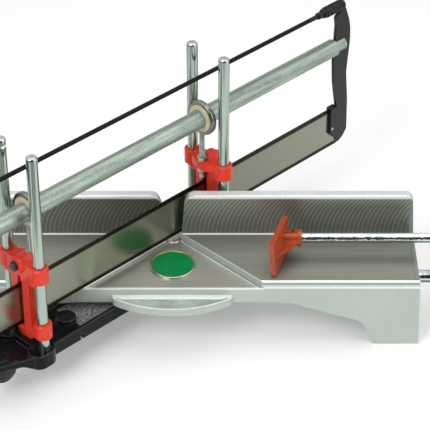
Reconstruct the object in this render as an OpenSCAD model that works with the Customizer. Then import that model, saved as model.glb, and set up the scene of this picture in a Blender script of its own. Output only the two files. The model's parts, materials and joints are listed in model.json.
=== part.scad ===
// Manual mitre saw: an aluminium bed with a split fence, a swing arm under it that carries
// four upright columns, two plastic carriages that slide on the columns, and a framed saw
// whose tube slides through an eye ring on each carriage.
//
// X runs along the fence to the right, Y to the rear, Z up. The origin is the centre of the
// four bench screw holes in the feet, on the bench. The saw is drawn swung to the left.
// Lengths called "along the saw" run from the pivot towards the handle.

/* [Bed] */
// Length of the bed along the fence
bed_l = 448; // [430:2:480]
// Height of the table above the bench
table_h = 69; // [68:0.5:74]
// Depth of the table from the fence face to the front face
table_d = 75.5; // [74:0.5:90]
// Thickness of the table plate
table_t = 5; // [4:0.5:7]
// Thickness of the front, rear and end walls
wall_t = 4.5; // [3.5:0.5:6]
// How far the walls lean out between the table and the bench
wall_lean = 2.2; // [1:0.1:3]
// Rounding of the front edge of the table
front_r = 4; // [2:0.5:5]
// Height of the clear arch under the front and rear walls
arch_h = 47.2; // [46.7:0.1:48]
// Height of the fence above the table
fence_h = 42.2; // [36:0.2:50]
// Thickness of the fence
fence_t = 9.8; // [8:0.2:10]
// Width of the fence gap at the table
gap_w = 15.8; // [14:0.2:18]
// Depth of the V shaped pocket that the blade swings over
pocket_d = 6.7; // [5:0.1:7]
// Half width of the pocket where it meets the fence
pocket_w = 8; // [7:0.5:10]
// Length of a foot along the fence
foot_l = 40; // [36:1:48]

/* [Index rim] */
// Radius of the index rim about the pivot
rim_r = 97; // [95:0.5:100]
// Height of the index rim
rim_t = 7.7; // [6:0.1:9]
// Width of the lip that the rim shows in front of the bed
lip_w = 108; // [90:1:112]
// Radius of the bare round plate in the pocket
plate_r = 21; // [15:0.5:22]
// Distance of the round plate from the pivot
plate_y = 40.5; // [38:0.5:46]

/* [Bench screws] */
// Spacing of the bench screw holes along the fence
screw_dx = 408; // [400:1:410]
// Spacing of the bench screw holes across the bed
screw_dy = 56; // [50:1:60]
// Radius of the tapped bench screw holes
screw_r = 2.5; // [2:0.25:3]
// Depth of the tapped bench screw holes
screw_depth = 12; // [8:1:16]

/* [Swing arm] */
// Angle that the saw is swung to the left of square
mitre = 45; // [0:5:45]
// Half width of the arm
arm_w = 21.7; // [20:0.1:23]
// Height of the arm's lower edge above the bench
arm_z = 32.5; // [30:0.5:34]
// Height of the arm's rim above the bench
arm_top = 45.7; // [44:0.1:46]
// Thickness of the arm's side walls
arm_wall = 3.2; // [2.5:0.1:4]
// Distance from the pivot to the round end of the arm
nose_s = 212; // [208:1:216]
// Radius of the round end of the arm
nose_r = 15.8; // [15:0.2:17]
// Distance from the pivot to the round cover over the index lever
hub_s = 135; // [132:1:138]
// Radius of the round cover
hub_r = 9.5; // [8:0.1:10]

/* [Columns] */
// Diameter of a column
col_d = 10; // [9.6:0.1:10.4]
// Height of the column tops above the bench
col_top = 248; // [248:1:280]
// Distance from the pivot to the front pair
col_front = 177.5; // [176:0.5:180]
// Distance from the pivot to the rear pair
col_rear = 46; // [45.5:0.5:50]
// Half the spacing of the columns in a pair
col_t = 20.2; // [19.8:0.1:20.6]

/* [Carriages] */
// Outer radius of the collars
collar_r = 8.1; // [7.6:0.1:8.2]
// Height of a collar
collar_h = 15.5; // [14:0.5:18]
// Underside of the lower collars above the bench
low_z = 60; // [58:0.5:62]
// Underside of the upper collars above the bench
up_z = 119.5; // [119:0.5:122]
// How far the saw lifts
lift = 110; // [80:1:110]
// Running clearance round the columns and the tube
run_fit = 0.06; // [0.03:0.01:0.1]
// Distance of the eye ring stud from the column line
stud_u = 8; // [7.5:0.1:8.5]
// Thickness of the shelf that holds the stud
shelf_t = 8; // [6:0.5:9]
// Diameter of the release button
button_d = 9; // [7:0.5:10]
// Travel of the release button
button_travel = 3; // [2:0.5:3]

/* [Eye rings] */
// Outer radius of the eye ring
ring_r = 16.9; // [16.5:0.1:18]
// Radial thickness of the eye ring
ring_t = 3.7; // [3:0.1:4.5]
// Width of the eye ring along the saw
ring_w = 5.5; // [4:0.5:7]
// Diameter of the ring's threaded stud
stud_d = 4.5; // [4:0.5:6]

/* [Saw frame] */
// Height of the tube's centre above the bench
tube_z = 180.4; // [178:0.2:184]
// Diameter of the tube
tube_d = 17.2; // [16:0.2:19]
// Wall of the tube
tube_wall = 1.5; // [1:0.1:2]
// Height of the tension rod above the tube's centre
rod_dz = 43.7; // [42:0.1:46]
// Diameter of the tension rod
rod_d = 4.1; // [4:0.1:6]
// Length of the blade
blade_l = 550; // [540:1:560]
// Height of the blade
blade_h = 45; // [40:1:46]
// Thickness of the blade
blade_t = 1; // [0.8:0.1:1.2]
// Pitch of the saw teeth
tooth_pitch = 1.8; // [1.4:0.1:3]
// Depth of the saw teeth
tooth_depth = 0.8; // [0.6:0.1:1.2]
// Height of the teeth tips above the bench
teeth_z = 66.2; // [66:0.1:67]
// Distance from the pivot to the rear end of the blade
blade_back = 227.2; // [225:0.1:229]
// Thickness of the two flat frame arms
lever_t = 3.2; // [2.4:0.1:4]
// Width of the handle from side to side
grip_w = 26; // [22:1:32]

/* [Length stop] */
// Height of the upper rod above the bench
stop_z = 87.4; // [84:0.2:90]
// Distance of both rods in front of the fence face
stop_y = 32; // [30:0.5:36]
// Diameter of the upper rod
stop_d = 9; // [8:0.2:10]
// Diameter of the guide rod in the bed
guide_d = 12; // [10:0.2:13]
// Drop from the upper rod to the guide rod
stop_drop = 43.8; // [42:0.2:46]
// Distance of the stop plate's hub from the pivot plane
stop_x = 104; // [100:1:108]
// Length of the stop plate
stop_l = 46; // [40:1:50]
// Height of the stop plate
stop_h = 35.2; // [30:0.2:36]
// Thickness of the stop plate
stop_t = 4.6; // [4:0.2:6]
// Angle that the stop plate is turned from square
stop_turn = 17.6; // [0:0.2:20]
// Angle that the stop plate leans from upright
stop_lean = 4.4; // [0:0.2:6]

/* [Hidden] */
$fn = 64;

// Bed frame
pivot_y = screw_dy / 2 + 4;
front_y = -table_d;
foot_x = bed_l / 2;
pocket_z = table_h - pocket_d;
fence_z = table_h + fence_h;
hollow_z = table_h - table_t;
hollow_y0 = front_y + wall_t;
hollow_y1 = fence_t - wall_t;
arch_x = foot_x - foot_l;
rib_t = 3.5;
sweep_r = norm([front_y - wall_lean, wall_lean - front_y + arm_w * sqrt(2)]);
notch_angles = [-45, -36, -30, -22.5, 0, 22.5, 30, 36, 45];

// Pivot
bolt_r = 5;
bolt_head_r = 6.6;
bolt_head_h = 1.3;
pivot_boss_r = 15;
washer_t = 1.2;
arm_hub_top = arch_h - washer_t - 0.1;

// Arm
deck_top = arm_top - 2.7;
deck_t = 3.5;
boss_r = 9.6;
boss_top = arm_top + 1.1;
boss_len = 6.5;
rib_top = low_z - 10.3;
rib_w = col_t - col_d / 2 - 0.6;
arm_back = -col_rear - 8;
nose_under = arm_top - 6.7;
spring_top = arm_top - 3.4;
lever_end = nose_under - 1.6;
lever_low = arm_z + 2.5;
knob_top = nose_under - 1.3;
knob_low = knob_top - 17;
lever_pin_z = arm_z + 3.7;
lever_pin_r = 2;
tooth_s = rim_r - 10;
tooth_w = 3.8;
tooth_up = 2.3;
pocket_floor = arm_top - 5.2;
pocket_under = pocket_floor - 1.9;

// Carriage, measured from the column line: u outward from the pivot, w across the saw
carriage_top = up_z + collar_h;
shelf_top = carriage_top - 1;
shelf_z = shelf_top - shelf_t;
button_z = up_z + 11.5;
dome_r = 8.5;
dome_u = 8;
cap_u = 8.4;
cap_floor = 3;
stem_r = 2.6;
stem_u = -2;
catch_u = 1;
catch_r = 1.5;
tongue_u = 3.1;
post_u0 = -5;
post_u1 = 6.5;
post_w = 11.5;
spine_z = teeth_z + blade_h;
slot_w = blade_t + 1.1;
ring_in = ring_r - ring_t;
bush_r = tube_d / 2 + run_fit + 0.04;
stud_r = stud_d / 2;
stud_low = shelf_z - 12;
nut_h = 4;

// Saw frame
rod_z = tube_z + rod_dz;
saw_mid = blade_l / 2 - blade_back;
tube_end = blade_back - 10.8;
plug_r = tube_d / 2 - 2.3;
plug_out = 15;
lever_in = 4;
nut_r = 5.4;
nut_l = 27.6;
nut_s = blade_back - 1;
head_r = 3.4;
front_boss = 5.5;
rear_boss = 0.7;
pin_in = 11;
grip_s = 2 * saw_mid + blade_back + 4.8;
grip_low = teeth_z + 16;
grip_high = tube_z + 14;
grip_screw_z = [grip_low + 38, grip_high - 32];
rod_out = front_boss + 7;

// Stop
cross_x = foot_x + 17.5;
guide_z = stop_z - stop_drop;
guide_in = foot_x - 119;
guide_boss_x = foot_x - 52;
stop_front = 37.9;
stop_over = table_h + 1.4 - stop_z;
flange_d = 16;

// Unit vector of a plane vector
function unit(v) = v / norm(v);

// Points of an arc of n steps about c from angle a to angle b
function arc(c, r, a, b, n) =
    [for (i = [0:n]) let (t = a + (b - a) * i / n) [c[0] + r * cos(t), c[1] + r * sin(t)]];

// Points that round the corner q between p and s with radius r
function corner(p, q, s, r, n) =
    r == 0 ? [q] :
    let (u = unit(p - q), v = unit(s - q), half = acos(max(-1, min(1, u * v))) / 2,
        c = q + unit(u + v) * r / sin(half), f = q + u * r / tan(half) - c,
        g = q + v * r / tan(half) - c, a = atan2(f[1], f[0]), turn = atan2(g[1], g[0]) - a,
        b = turn > 180 ? turn - 360 : turn < -180 ? turn + 360 : turn)
    arc(c, r, a, a + b, n);

// Closed outline from corners given as [x, y, radius]
function outline(pts, n = 8) =
    let (m = len(pts), q = [for (p = pts) [p[0], p[1]]])
    [for (i = [0:m - 1]) each corner(q[(i + m - 1) % m], q[i], q[(i + 1) % m], pts[i][2], n)];

// Moves a shape from the pivot's frame to the origin at the bench screws
module at_pivot() {
    translate([0, pivot_y, 0]) children();
}

// Moves a shape from the saw's frame (x along the saw, y to its right) to its place
module at_saw() {
    at_pivot() rotate([0, 0, 270 - mitre]) children();
}

// Places a carriage shape on the front or the rear pair of columns
module at_carriage(front) {
    at_saw() translate([front ? col_front : -col_rear, 0, 0])
        rotate([0, 0, front ? 0 : 180]) children();
}

// A bar of plane outline pts in the X Z plane, from y0 to y1
module side_bar(pts, y0, y1) {
    translate([0, y1, 0]) rotate([90, 0, 0]) linear_extrude(y1 - y0) polygon(pts);
}

// Hexagonal nut about Z with its bore
module hex_nut(flats, h, bore) {
    difference() {
        cylinder(r = flats / 2 / cos(30), h = h, $fn = 6);
        translate([0, 0, -1]) cylinder(r = bore, h = h + 2);
    }
}

// Coil spring along Z: one closed tube that follows a helix
module coil(r, wire, h, turns, steps = 14, sides = 6) {
    n = turns * steps;
    pts = [for (i = [0:n], j = [0:sides - 1])
        let (a = 360 * i / steps, b = 360 * j / sides, q = r + wire * cos(b))
        [q * cos(a), q * sin(a), wire + (h - 2 * wire) * i / n + wire * sin(b)]];
    skin = [for (i = [0:n - 1], j = [0:sides - 1])
        let (k = (j + 1) % sides, p = i * sides, q = p + sides)
        each [[p + j, q + j, p + k], [p + k, q + j, q + k]]];
    caps = [for (j = [1:sides - 2]) each [[0, j, j + 1],
        [n * sides, n * sides + j + 1, n * sides + j]]];
    polyhedron(pts, concat(skin, caps), convexity = 10);
}

// Section of the bed across its length: table, front wall, fence and rear wall
function bed_section() = [
    each [[front_y - wall_lean, 0], [front_y, table_h - front_r]],
    each arc([front_y + front_r, table_h - front_r], front_r, 180, 90, 6),
    each arc([-1.2, table_h + 1.2], 1.2, 270, 360, 4),
    each arc([2.8, fence_z - 2.8], 2.8, 180, 90, 5),
    each arc([fence_t - 0.8, fence_z - 0.8], 0.8, 90, 0, 2),
    [fence_t, 0]];

// Hollow under the table
function hollow_section() = outline([
    [hollow_y0 - wall_lean - 0.1, -1, 0], [hollow_y0, hollow_z, 4],
    [hollow_y1, hollow_z, 4], [hollow_y1, -1, 0]], 4);

// Clear arch under the front and rear walls, with the feet left at its ends
function arch_outline() = outline([
    [-arch_x - 0.4, -1, 0], [-arch_x + 10, 25.2, 18], [-103, arch_h, 139],
    [103, arch_h, 139], [arch_x - 10, 25.2, 18], [arch_x + 0.4, -1, 0]], 8);

// Front edge of one fence half at its gap, with the rounded top corner
module fence_gap() {
    half = gap_w / 2;
    top = half + 2.2;
    r = 12;
    side_bar([[-half, pocket_z + 0.4], [half, pocket_z + 0.4], [half, table_h],
        each arc([top + r, fence_z - r], r, 180, 90, 8),
        [top + r, fence_z + 1], [-top - r, fence_z + 1],
        each arc([-top - r, fence_z - r], r, 90, 0, 8),
        [-half, table_h]], -0.01, fence_t + 1);
    // The ends open towards the rear so that the blade passes at 45 degrees both ways
    translate([0, 0, pocket_z + 0.4]) linear_extrude(fence_h + pocket_d + 2)
        polygon([[-half, 0], [half, 0], [half + 7, fence_t + 1], [-half - 7, fence_t + 1]]);
}

// Rounded and drawn-in end of the fence, with the slope of the bed's end below it
module end_slope() {
    r = 7;
    in = 2;
    side_bar([[foot_x + wall_lean, -1], [foot_x, table_h],
        each arc([foot_x - in - r, fence_z - r], r, 5, 90, 6),
        [foot_x - in - r, fence_z + 1], [foot_x + 9, fence_z + 1], [foot_x + 9, -1]],
        front_y - 20, fence_t + 10);
}

// One sloping side of the pocket: everything inboard of the wall on the right
module pocket_side() {
    l = table_d * 2;
    rotate([0, 0, -45]) translate([-20, 0, 0]) rotate([90, 0, 90]) linear_extrude(l)
        polygon([[-l, pocket_z], [(pocket_w - 4.2) * sqrt(0.5), pocket_z],
            [pocket_w * sqrt(0.5), table_h], [pocket_w * sqrt(0.5) + 3, table_h + 5],
            [-l, table_h + 5]]);
}

// Pocket that the blade swings over, and the seat of the pivot bolt
module pocket() {
    intersection() {
        pocket_side();
        mirror([1, 0, 0]) pocket_side();
        translate([-bed_l / 2, front_y - 5, 0]) cube([bed_l, table_d + 5, 100]);
    }
    translate([0, 0, pocket_z]) cylinder(r = bolt_head_r + 0.8, h = pocket_d + 2);
}

// Ring sector of the index rim, wide enough for every notch
module rim_sector(r0, r1, z0, z1, half) {
    translate([0, 0, z0]) rotate([0, 0, 270 - half])
        rotate_extrude(angle = 2 * half, $fn = 128)
            polygon([[r0, 0], [r1, 0], [r1, z1 - z0], [r0, z1 - z0]]);
}

// Plan of the lip: a segment of the rim's disc, drawn in by d, with rounded ends
module lip_plan(d) {
    half = lip_w / 2 - d;
    y = -sqrt(pow(rim_r - d, 2) - half * half);
    polygon(outline([[-half, front_y + 8, 0], [-half, y, 5], each [for (a = [-24:6:24])
        [(rim_r - d) * sin(a), -(rim_r - d) * cos(a), 60]],
        [half, y, 5], [half, front_y + 8, 0]], 3));
}

// Index rim: a ring sector under the table whose front stands out as a lip
module index_rim() {
    intersection() {
        rim_sector(rim_r - 17, rim_r, arch_h, arch_h + rim_t, 52);
        translate([-bed_l / 2, front_y + 0.5, 0]) cube([bed_l, table_d, 100]);
    }
    difference() {
        translate([0, 0, arch_h]) linear_extrude(rim_t) lip_plan(0);
        // Shallow recess in the top of the lip, behind a raised edge
        translate([0, 0, arch_h + rim_t - 1.6]) intersection() {
            linear_extrude(3) lip_plan(3.2);
            translate([-bed_l / 2, front_y - 30, 0]) cube([bed_l, 28.6, 10]);
        }
    }
}

// Notches in the underside of the index rim, one for each set angle
module index_notches() {
    for (a = notch_angles)
        rotate([0, 0, a]) translate([-tooth_w / 2 - 0.2, -tooth_s - 3.2, arch_h - 1])
            cube([tooth_w + 0.4, 6.4, tooth_up - 0.6 + 0.3 + 1]);
}

// Clearance in the front wall for the arm's rim at the ends of its swing
module arm_clearance() {
    intersection() {
        rotate_extrude($fn = 128) polygon([[0, -1], [sweep_r + 8, -1], [sweep_r + 8, arm_top - 2.7],
            [sweep_r + 0.6, arm_top + 0.35], [0, arm_top + 0.35]]);
        translate([-bed_l / 2, front_y - 10, -2]) cube([bed_l, 20, table_h]);
    }
}

// Stiffening ribs under the table, clear of the swing of the arm
module bed_ribs() {
    // Each pair is given as its distance from the bed's end and its underside
    for (m = [-1, 1], rib = [[34, 14], [89, guide_z + guide_d / 2 + 1]])
        translate([m * (foot_x - rib[0]) - rib_t / 2, hollow_y0 - 1, rib[1]])
            cube([rib_t, hollow_y1 - hollow_y0 + 2, hollow_z - rib[1] + 1]);
    translate([-foot_x + 3, -stop_y - 20, hollow_z - 6]) cube([bed_l - 6, rib_t - 0.5, 7]);
}

// Bosses in the feet for the bench screws
module foot_bosses() {
    for (x = [-1, 1], y = [-1, 1])
        translate([x * screw_dx / 2, y * screw_dy / 2 - pivot_y, 0])
            cylinder(r = 7, h = hollow_z + 1);
}

module bed() {
    color([0.72, 0.77, 0.74]) at_pivot() difference() {
        union() {
            difference() {
                translate([-foot_x - wall_lean, 0, 0]) rotate([90, 0, 90])
                    linear_extrude(bed_l + 2 * wall_lean) polygon(bed_section());
                translate([-foot_x + wall_t, 0, 0]) rotate([90, 0, 90])
                    linear_extrude(bed_l - 2 * wall_t) polygon(hollow_section());
                // Both ends lean out towards the bench
                for (m = [0, 1]) mirror([m, 0, 0]) end_slope();
                side_bar(arch_outline(), front_y - 20, fence_t + 10);
            }
            // Floor plate of the pocket
            intersection() {
                translate([-90, hollow_y0 - 1, pocket_z - table_t])
                    cube([180, hollow_y1 - hollow_y0 + 2, hollow_z - pocket_z + table_t + 0.5]);
                rotate([0, 0, 45])
                    translate([-130, -130, 0]) cube([144, 144, 100]);
            }
            bed_ribs();
            foot_bosses();
            // Pivot boss
            translate([0, 0, arch_h]) cylinder(r = pivot_boss_r, h = pocket_z - arch_h);
            index_rim();
            // Guide bosses for the length stop
            for (x = [guide_boss_x, foot_x - 24])
                translate([x, -stop_y, guide_z]) rotate([0, 90, 0])
                    cylinder(r = guide_d / 2 + 4, h = x == guide_boss_x ? 12 : 22);
            translate([guide_boss_x, -stop_y - 3, guide_z]) cube([12, 6, hollow_z - guide_z + 1]);
        }
        pocket();
        fence_gap();
        index_notches();
        arm_clearance();
        translate([0, 0, arch_h - 1]) cylinder(r = bolt_r + 0.03, h = 40);
        for (x = [-1, 1], y = [-1, 1])
            translate([x * screw_dx / 2, y * screw_dy / 2 - pivot_y, -1])
                cylinder(r = screw_r, h = screw_depth + 1);
        // Bore of the guide rod and the thread of its clamp screw
        translate([guide_boss_x - 1, -stop_y, guide_z]) rotate([0, 90, 0])
            cylinder(r = guide_d / 2 + run_fit, h = foot_x - guide_boss_x + 20);
        translate([foot_x - 13, -stop_y, guide_z - guide_d]) cylinder(r = 3.03, h = guide_d);
    }
}

module round_plate() {
    color([0.11, 0.52, 0.3]) at_pivot() translate([0, -plate_y, pocket_z + 0.02]) {
        rotate_extrude($fn = 96) polygon([[0, 0], [plate_r, 0], [plate_r, 1.6],
            [plate_r - 0.8, 1.9], [plate_r - 1.6, 1.6], [plate_r - 1.7, 1.3], [0, 1.3]]);
    }
}

module pivot_bolt() {
    color([0.62, 0.6, 0.52]) at_pivot() difference() {
        union() {
            translate([0, 0, pocket_z + 0.02]) rotate_extrude() polygon([[0, 0],
                [bolt_head_r, 0], [bolt_head_r, bolt_head_h - 0.8],
                [bolt_head_r - 0.8, bolt_head_h], [4.6, bolt_head_h],
                [4.2, bolt_head_h - 0.5], [0, bolt_head_h - 0.5]]);
            translate([0, 0, arm_z - 1.4]) cylinder(r = bolt_r, h = pocket_z - arm_z + 1.5);
            translate([0, 0, arm_z - 11]) cylinder(r = bolt_r - 1, h = 11);
        }
        // Centre hole in the head
        translate([0, 0, pocket_z + bolt_head_h - 1.6]) cylinder(r = 1.6, h = 3);
    }
}

// Thrust washer over the arm and steel washer under it
module pivot_washers() {
    color([0.86, 0.84, 0.76]) at_pivot() {
        translate([0, 0, arch_h - washer_t - 0.02]) difference() {
            cylinder(r = 13, h = washer_t);
            translate([0, 0, -1]) cylinder(r = bolt_r + 0.05, h = washer_t + 2);
        }
        translate([0, 0, arm_z - 1.38]) difference() {
            cylinder(r = 11, h = 1.3);
            translate([0, 0, -1]) cylinder(r = bolt_r + 0.05, h = 4);
        }
    }
}

module pivot_nut() {
    color([0.7, 0.7, 0.7]) at_pivot() translate([0, 0, arm_z - 9.4])
        hex_nut(16, 8, bolt_r - 0.98);
}

// Half outline of the arm's top, widened by d
function arm_side(d) = [[arm_back - d, 12 + d], [-col_rear, arm_w + d], [168, arm_w + d],
    [col_front + boss_len + 4.5, 26 + d], [nose_s - 13, 21.5 + d], [nose_s - 5, 18.6 + d],
    each arc([nose_s, 0], nose_r + d, 66, 0, 10)];

module arm_plan(d) {
    half = arm_side(d);
    polygon(concat(half, [for (i = [len(half) - 1:-1:0]) [half[i][0], -half[i][1]]]));
}

// Footprint of a column boss; the front ones reach forward
module boss_plan(front, r) {
    for (t = [-1, 1]) {
        x = front ? col_front : -col_rear;
        translate([x, t * col_t]) circle(r);
        if (front) {
            translate([x, t * col_t - r]) square([boss_len, 2 * r]);
            translate([x + boss_len, t * col_t]) circle(r);
        }
    }
}

module swing_arm() {
    color([0.09, 0.1, 0.1]) at_saw() difference() {
        union() {
            // Sides and deck
            difference() {
                translate([0, 0, arm_z]) linear_extrude(arm_top - arm_z) arm_plan(0);
                translate([0, 0, deck_top]) linear_extrude(10) arm_plan(-arm_wall);
                translate([0, 0, arm_z - 1]) linear_extrude(deck_top - deck_t - arm_z + 1)
                    arm_plan(-arm_wall);
                // The round end is thinner than the rest
                side_bar(outline([[nose_s - 22, arm_z - 1.2, 0], [nose_s - 9, nose_under, 12],
                    [nose_s + 30, nose_under, 0], [nose_s + 30, arm_z - 1.2, 0]], 6), -40, 40);
                // Rough pocket in the deck, over the tooth of the index lever
                translate([rim_r - 19, -arm_w + arm_wall, pocket_floor])
                    cube([hub_s - rim_r + 16, 2 * (arm_w - arm_wall), 10]);
                translate([rim_r - 21, -arm_w + arm_wall, arm_z])
                    cube([hub_s - rim_r + 20, 2 * (arm_w - arm_wall), pocket_under - arm_z]);
            }
            translate([rim_r - 22, -arm_w + arm_wall - 1, pocket_under])
                cube([hub_s - rim_r + 15.5, 2 * (arm_w - arm_wall) + 2, pocket_floor - pocket_under]);
            // Column bosses, with a rest for the carriage's tongue between each pair
            for (f = [true, false])
                translate([0, 0, arm_z]) linear_extrude(boss_top - arm_z) boss_plan(f, boss_r);
            for (x = [col_front - 4, -col_rear - 4]) translate([x, -rib_w, deck_top - 1])
                cube([8, 2 * rib_w, low_z - 12.1 - deck_top + 1]);
            // Cross rib in front of the front carriage's tongue
            translate([col_front + tongue_u + 0.4, -rib_w, deck_top - 1])
                cube([5.5, 2 * rib_w, rib_top - deck_top + 1]);
            // Pivot hub, round cover of the index lever and spring seat
            translate([0, 0, arm_z]) cylinder(r = 20, h = arm_hub_top - arm_z);
            translate([hub_s, 0, deck_top - deck_t]) rotate_extrude() polygon([[0, 0],
                [hub_r, 0], [hub_r, arm_top + 1.3 - deck_top + deck_t - 1],
                [hub_r - 1, arm_top + 1.3 - deck_top + deck_t], [0, arm_top + 1.3 - deck_top + deck_t]]);
            translate([nose_s, 0, nose_under]) cylinder(r = 7.5, h = arm_top - 1.5 - nose_under);
            // Long ribs under the deck
            for (t = [-1, 1]) translate([18, t * 12 - 1.5, arm_z + 1])
                cube([rim_r - 42, 3, deck_top - deck_t - arm_z]);
            for (t = [-1, 1]) translate([hub_s + 8, t * 12 - 1.5, arm_z + 1])
                cube([col_front - hub_s - 12, 3, deck_top - deck_t - arm_z]);
        }
        translate([0, 0, arm_z - 1]) cylinder(r = bolt_r + 0.06, h = 20);
        // Column bores, with a screw hole under each
        for (x = [col_front, -col_rear], t = [-1, 1]) translate([x, t * col_t, 0]) {
            translate([0, 0, arm_z + 5]) cylinder(d = col_d + 0.04, h = 20);
            translate([0, 0, arm_z - 1]) cylinder(r = 2.6, h = 20);
            translate([0, 0, arm_z - 1]) cylinder(r = 4.6, h = 3.2);
        }
        // Bore of the lever's pin, open below in both sides, and the slot of its tooth
        translate([hub_s, 30, lever_pin_z]) rotate([90, 0, 0])
            cylinder(r = lever_pin_r + 0.02, h = 60);
        for (t = [-1, 1]) translate([hub_s - 1, t * (arm_w - 2) - 3, arm_z - 1])
            cube([2, 6, 3]);
        translate([tooth_s - 3.6, -tooth_w / 2 - 0.7, pocket_under - 1])
            cube([7.2, tooth_w + 1.4, 10]);
        // Spring pocket in the round end
        translate([nose_s, 0, nose_under - 1])
            cylinder(r = 5.4, h = spring_top - nose_under + 1);
    }
}

// Column with bevelled top; the catch notch is on the side given, or absent at 0
module column(x, t, notch) {
    color([0.75, 0.77, 0.74]) at_saw() translate([x, t * col_t, 0]) difference() {
        union() {
            translate([0, 0, arm_z + 5.02]) cylinder(d = col_d, h = col_top - arm_z - 5.02 - 2.5);
            translate([0, 0, col_top - 2.5]) rotate_extrude() polygon(concat([[0, -1],
                [col_d / 2, -1]], arc([col_d / 2 - 2.5, 0], 2.5, 0, 90, 6), [[0, 2.5]]));
        }
        translate([0, 0, arm_z]) cylinder(r = 2.5, h = 20);
        if (notch != 0) translate([0, notch * (col_d / 2 + 1.2), button_z + lift + 0.5])
            rotate([90, 0, 90]) cylinder(r = 2.3, h = 20, center = true, $fn = 32);
    }
}

// Screws that hold the columns from below
module column_screws() {
    color([0.3, 0.3, 0.3]) at_saw() for (x = [col_front, -col_rear], t = [-1, 1])
        translate([x, t * col_t, arm_z + 2.2 - 3]) difference() {
            union() {
                cylinder(r = 4.5, h = 3);
                cylinder(r = 2.48, h = 20);
            }
            translate([0, 0, -1]) cylinder(r = 2, h = 2.8, $fn = 6);
        }
}

// Rocking lever, drawn released: pressing up its knob lowers the tooth from the index rim
module index_lever() {
    color([0.5, 0.52, 0.52]) at_saw() difference() {
        union() {
            side_bar(outline([[tooth_s - 6, arm_z - 1.2, 1], [tooth_s - 6, lever_low, 1],
                [hub_s - 12, lever_low, 6], [hub_s - 4, lever_pin_z + 2.9, 2],
                [hub_s + 4, lever_pin_z + 2.9, 2], [hub_s + 12, lever_end, 6],
                [nose_s, lever_end, 0], [nose_s, lever_end - 4.4, 0],
                [hub_s + 12, lever_end - 4.4, 6], [hub_s + 4, arm_z - 1.2, 6]], 4), -4, 4);
            translate([nose_s, 0, lever_end - 4.4]) cylinder(r = 6, h = 4.4);
            translate([tooth_s - 2.2, -tooth_w / 2, arm_z])
                cube([4.4, tooth_w, arch_h - 0.6 - arm_z]);
        }
        translate([hub_s, 30, lever_pin_z]) rotate([90, 0, 0])
            cylinder(r = lever_pin_r + 0.04, h = 60);
        translate([nose_s, 0, lever_end - 9]) cylinder(r = 2.05, h = 20);
    }
}

module index_pin() {
    color([0.15, 0.15, 0.15]) at_saw() translate([hub_s, arm_w - 1.6, lever_pin_z])
        rotate([90, 0, 0]) cylinder(r = lever_pin_r, h = 2 * arm_w - 3.2);
}

// Profile of one ring of the knob, from radius r at height z down to the next ring
function knob_ring(r, z, h) = [[r - 0.7, z], [r, z - 0.7], [r, z - h + 1.1],
    [r - 0.5, z - h + 0.6], [r - 1.5, z - h + 0.45], [r - 1.5, z - h]];

// Ringed knob under the round end of the arm; the lever's end lies in its slot
module index_knob() {
    ring_h = (knob_top - knob_low) / 5;
    radii = [14.6, 14.4, 13.6, 11.6, 9];
    color([0.07, 0.07, 0.07]) at_saw() translate([nose_s, 0, 0]) difference() {
        rotate_extrude() polygon(concat([[0, knob_top]],
            [for (i = [0:4]) each knob_ring(radii[i], knob_top - i * ring_h, ring_h)],
            [[0, knob_low]]));
        difference() {
            union() {
                translate([0, 0, lever_end - 4.45]) cylinder(r = 6.05, h = 20);
                translate([-30, -4.05, lever_end - 4.45]) cube([30, 8.1, 20]);
            }
            cylinder(r = 2, h = lever_end - 0.6);
        }
    }
}

// Spring that presses the knob end of the lever down
module index_spring() {
    color([0.7, 0.7, 0.7]) at_saw() translate([nose_s, 0, lever_end + 0.1])
        coil(4.2, 0.35, spring_top - lever_end - 0.2, 3);
}

// Plan of the shelf and bridge of a carriage
module shelf_plan() {
    r = 22.2;
    intersection() {
        translate([r - stud_u - 4.6, 0]) circle(r, $fn = 96);
        translate([-30, -col_t]) square([32, 2 * col_t]);
    }
}

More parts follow.
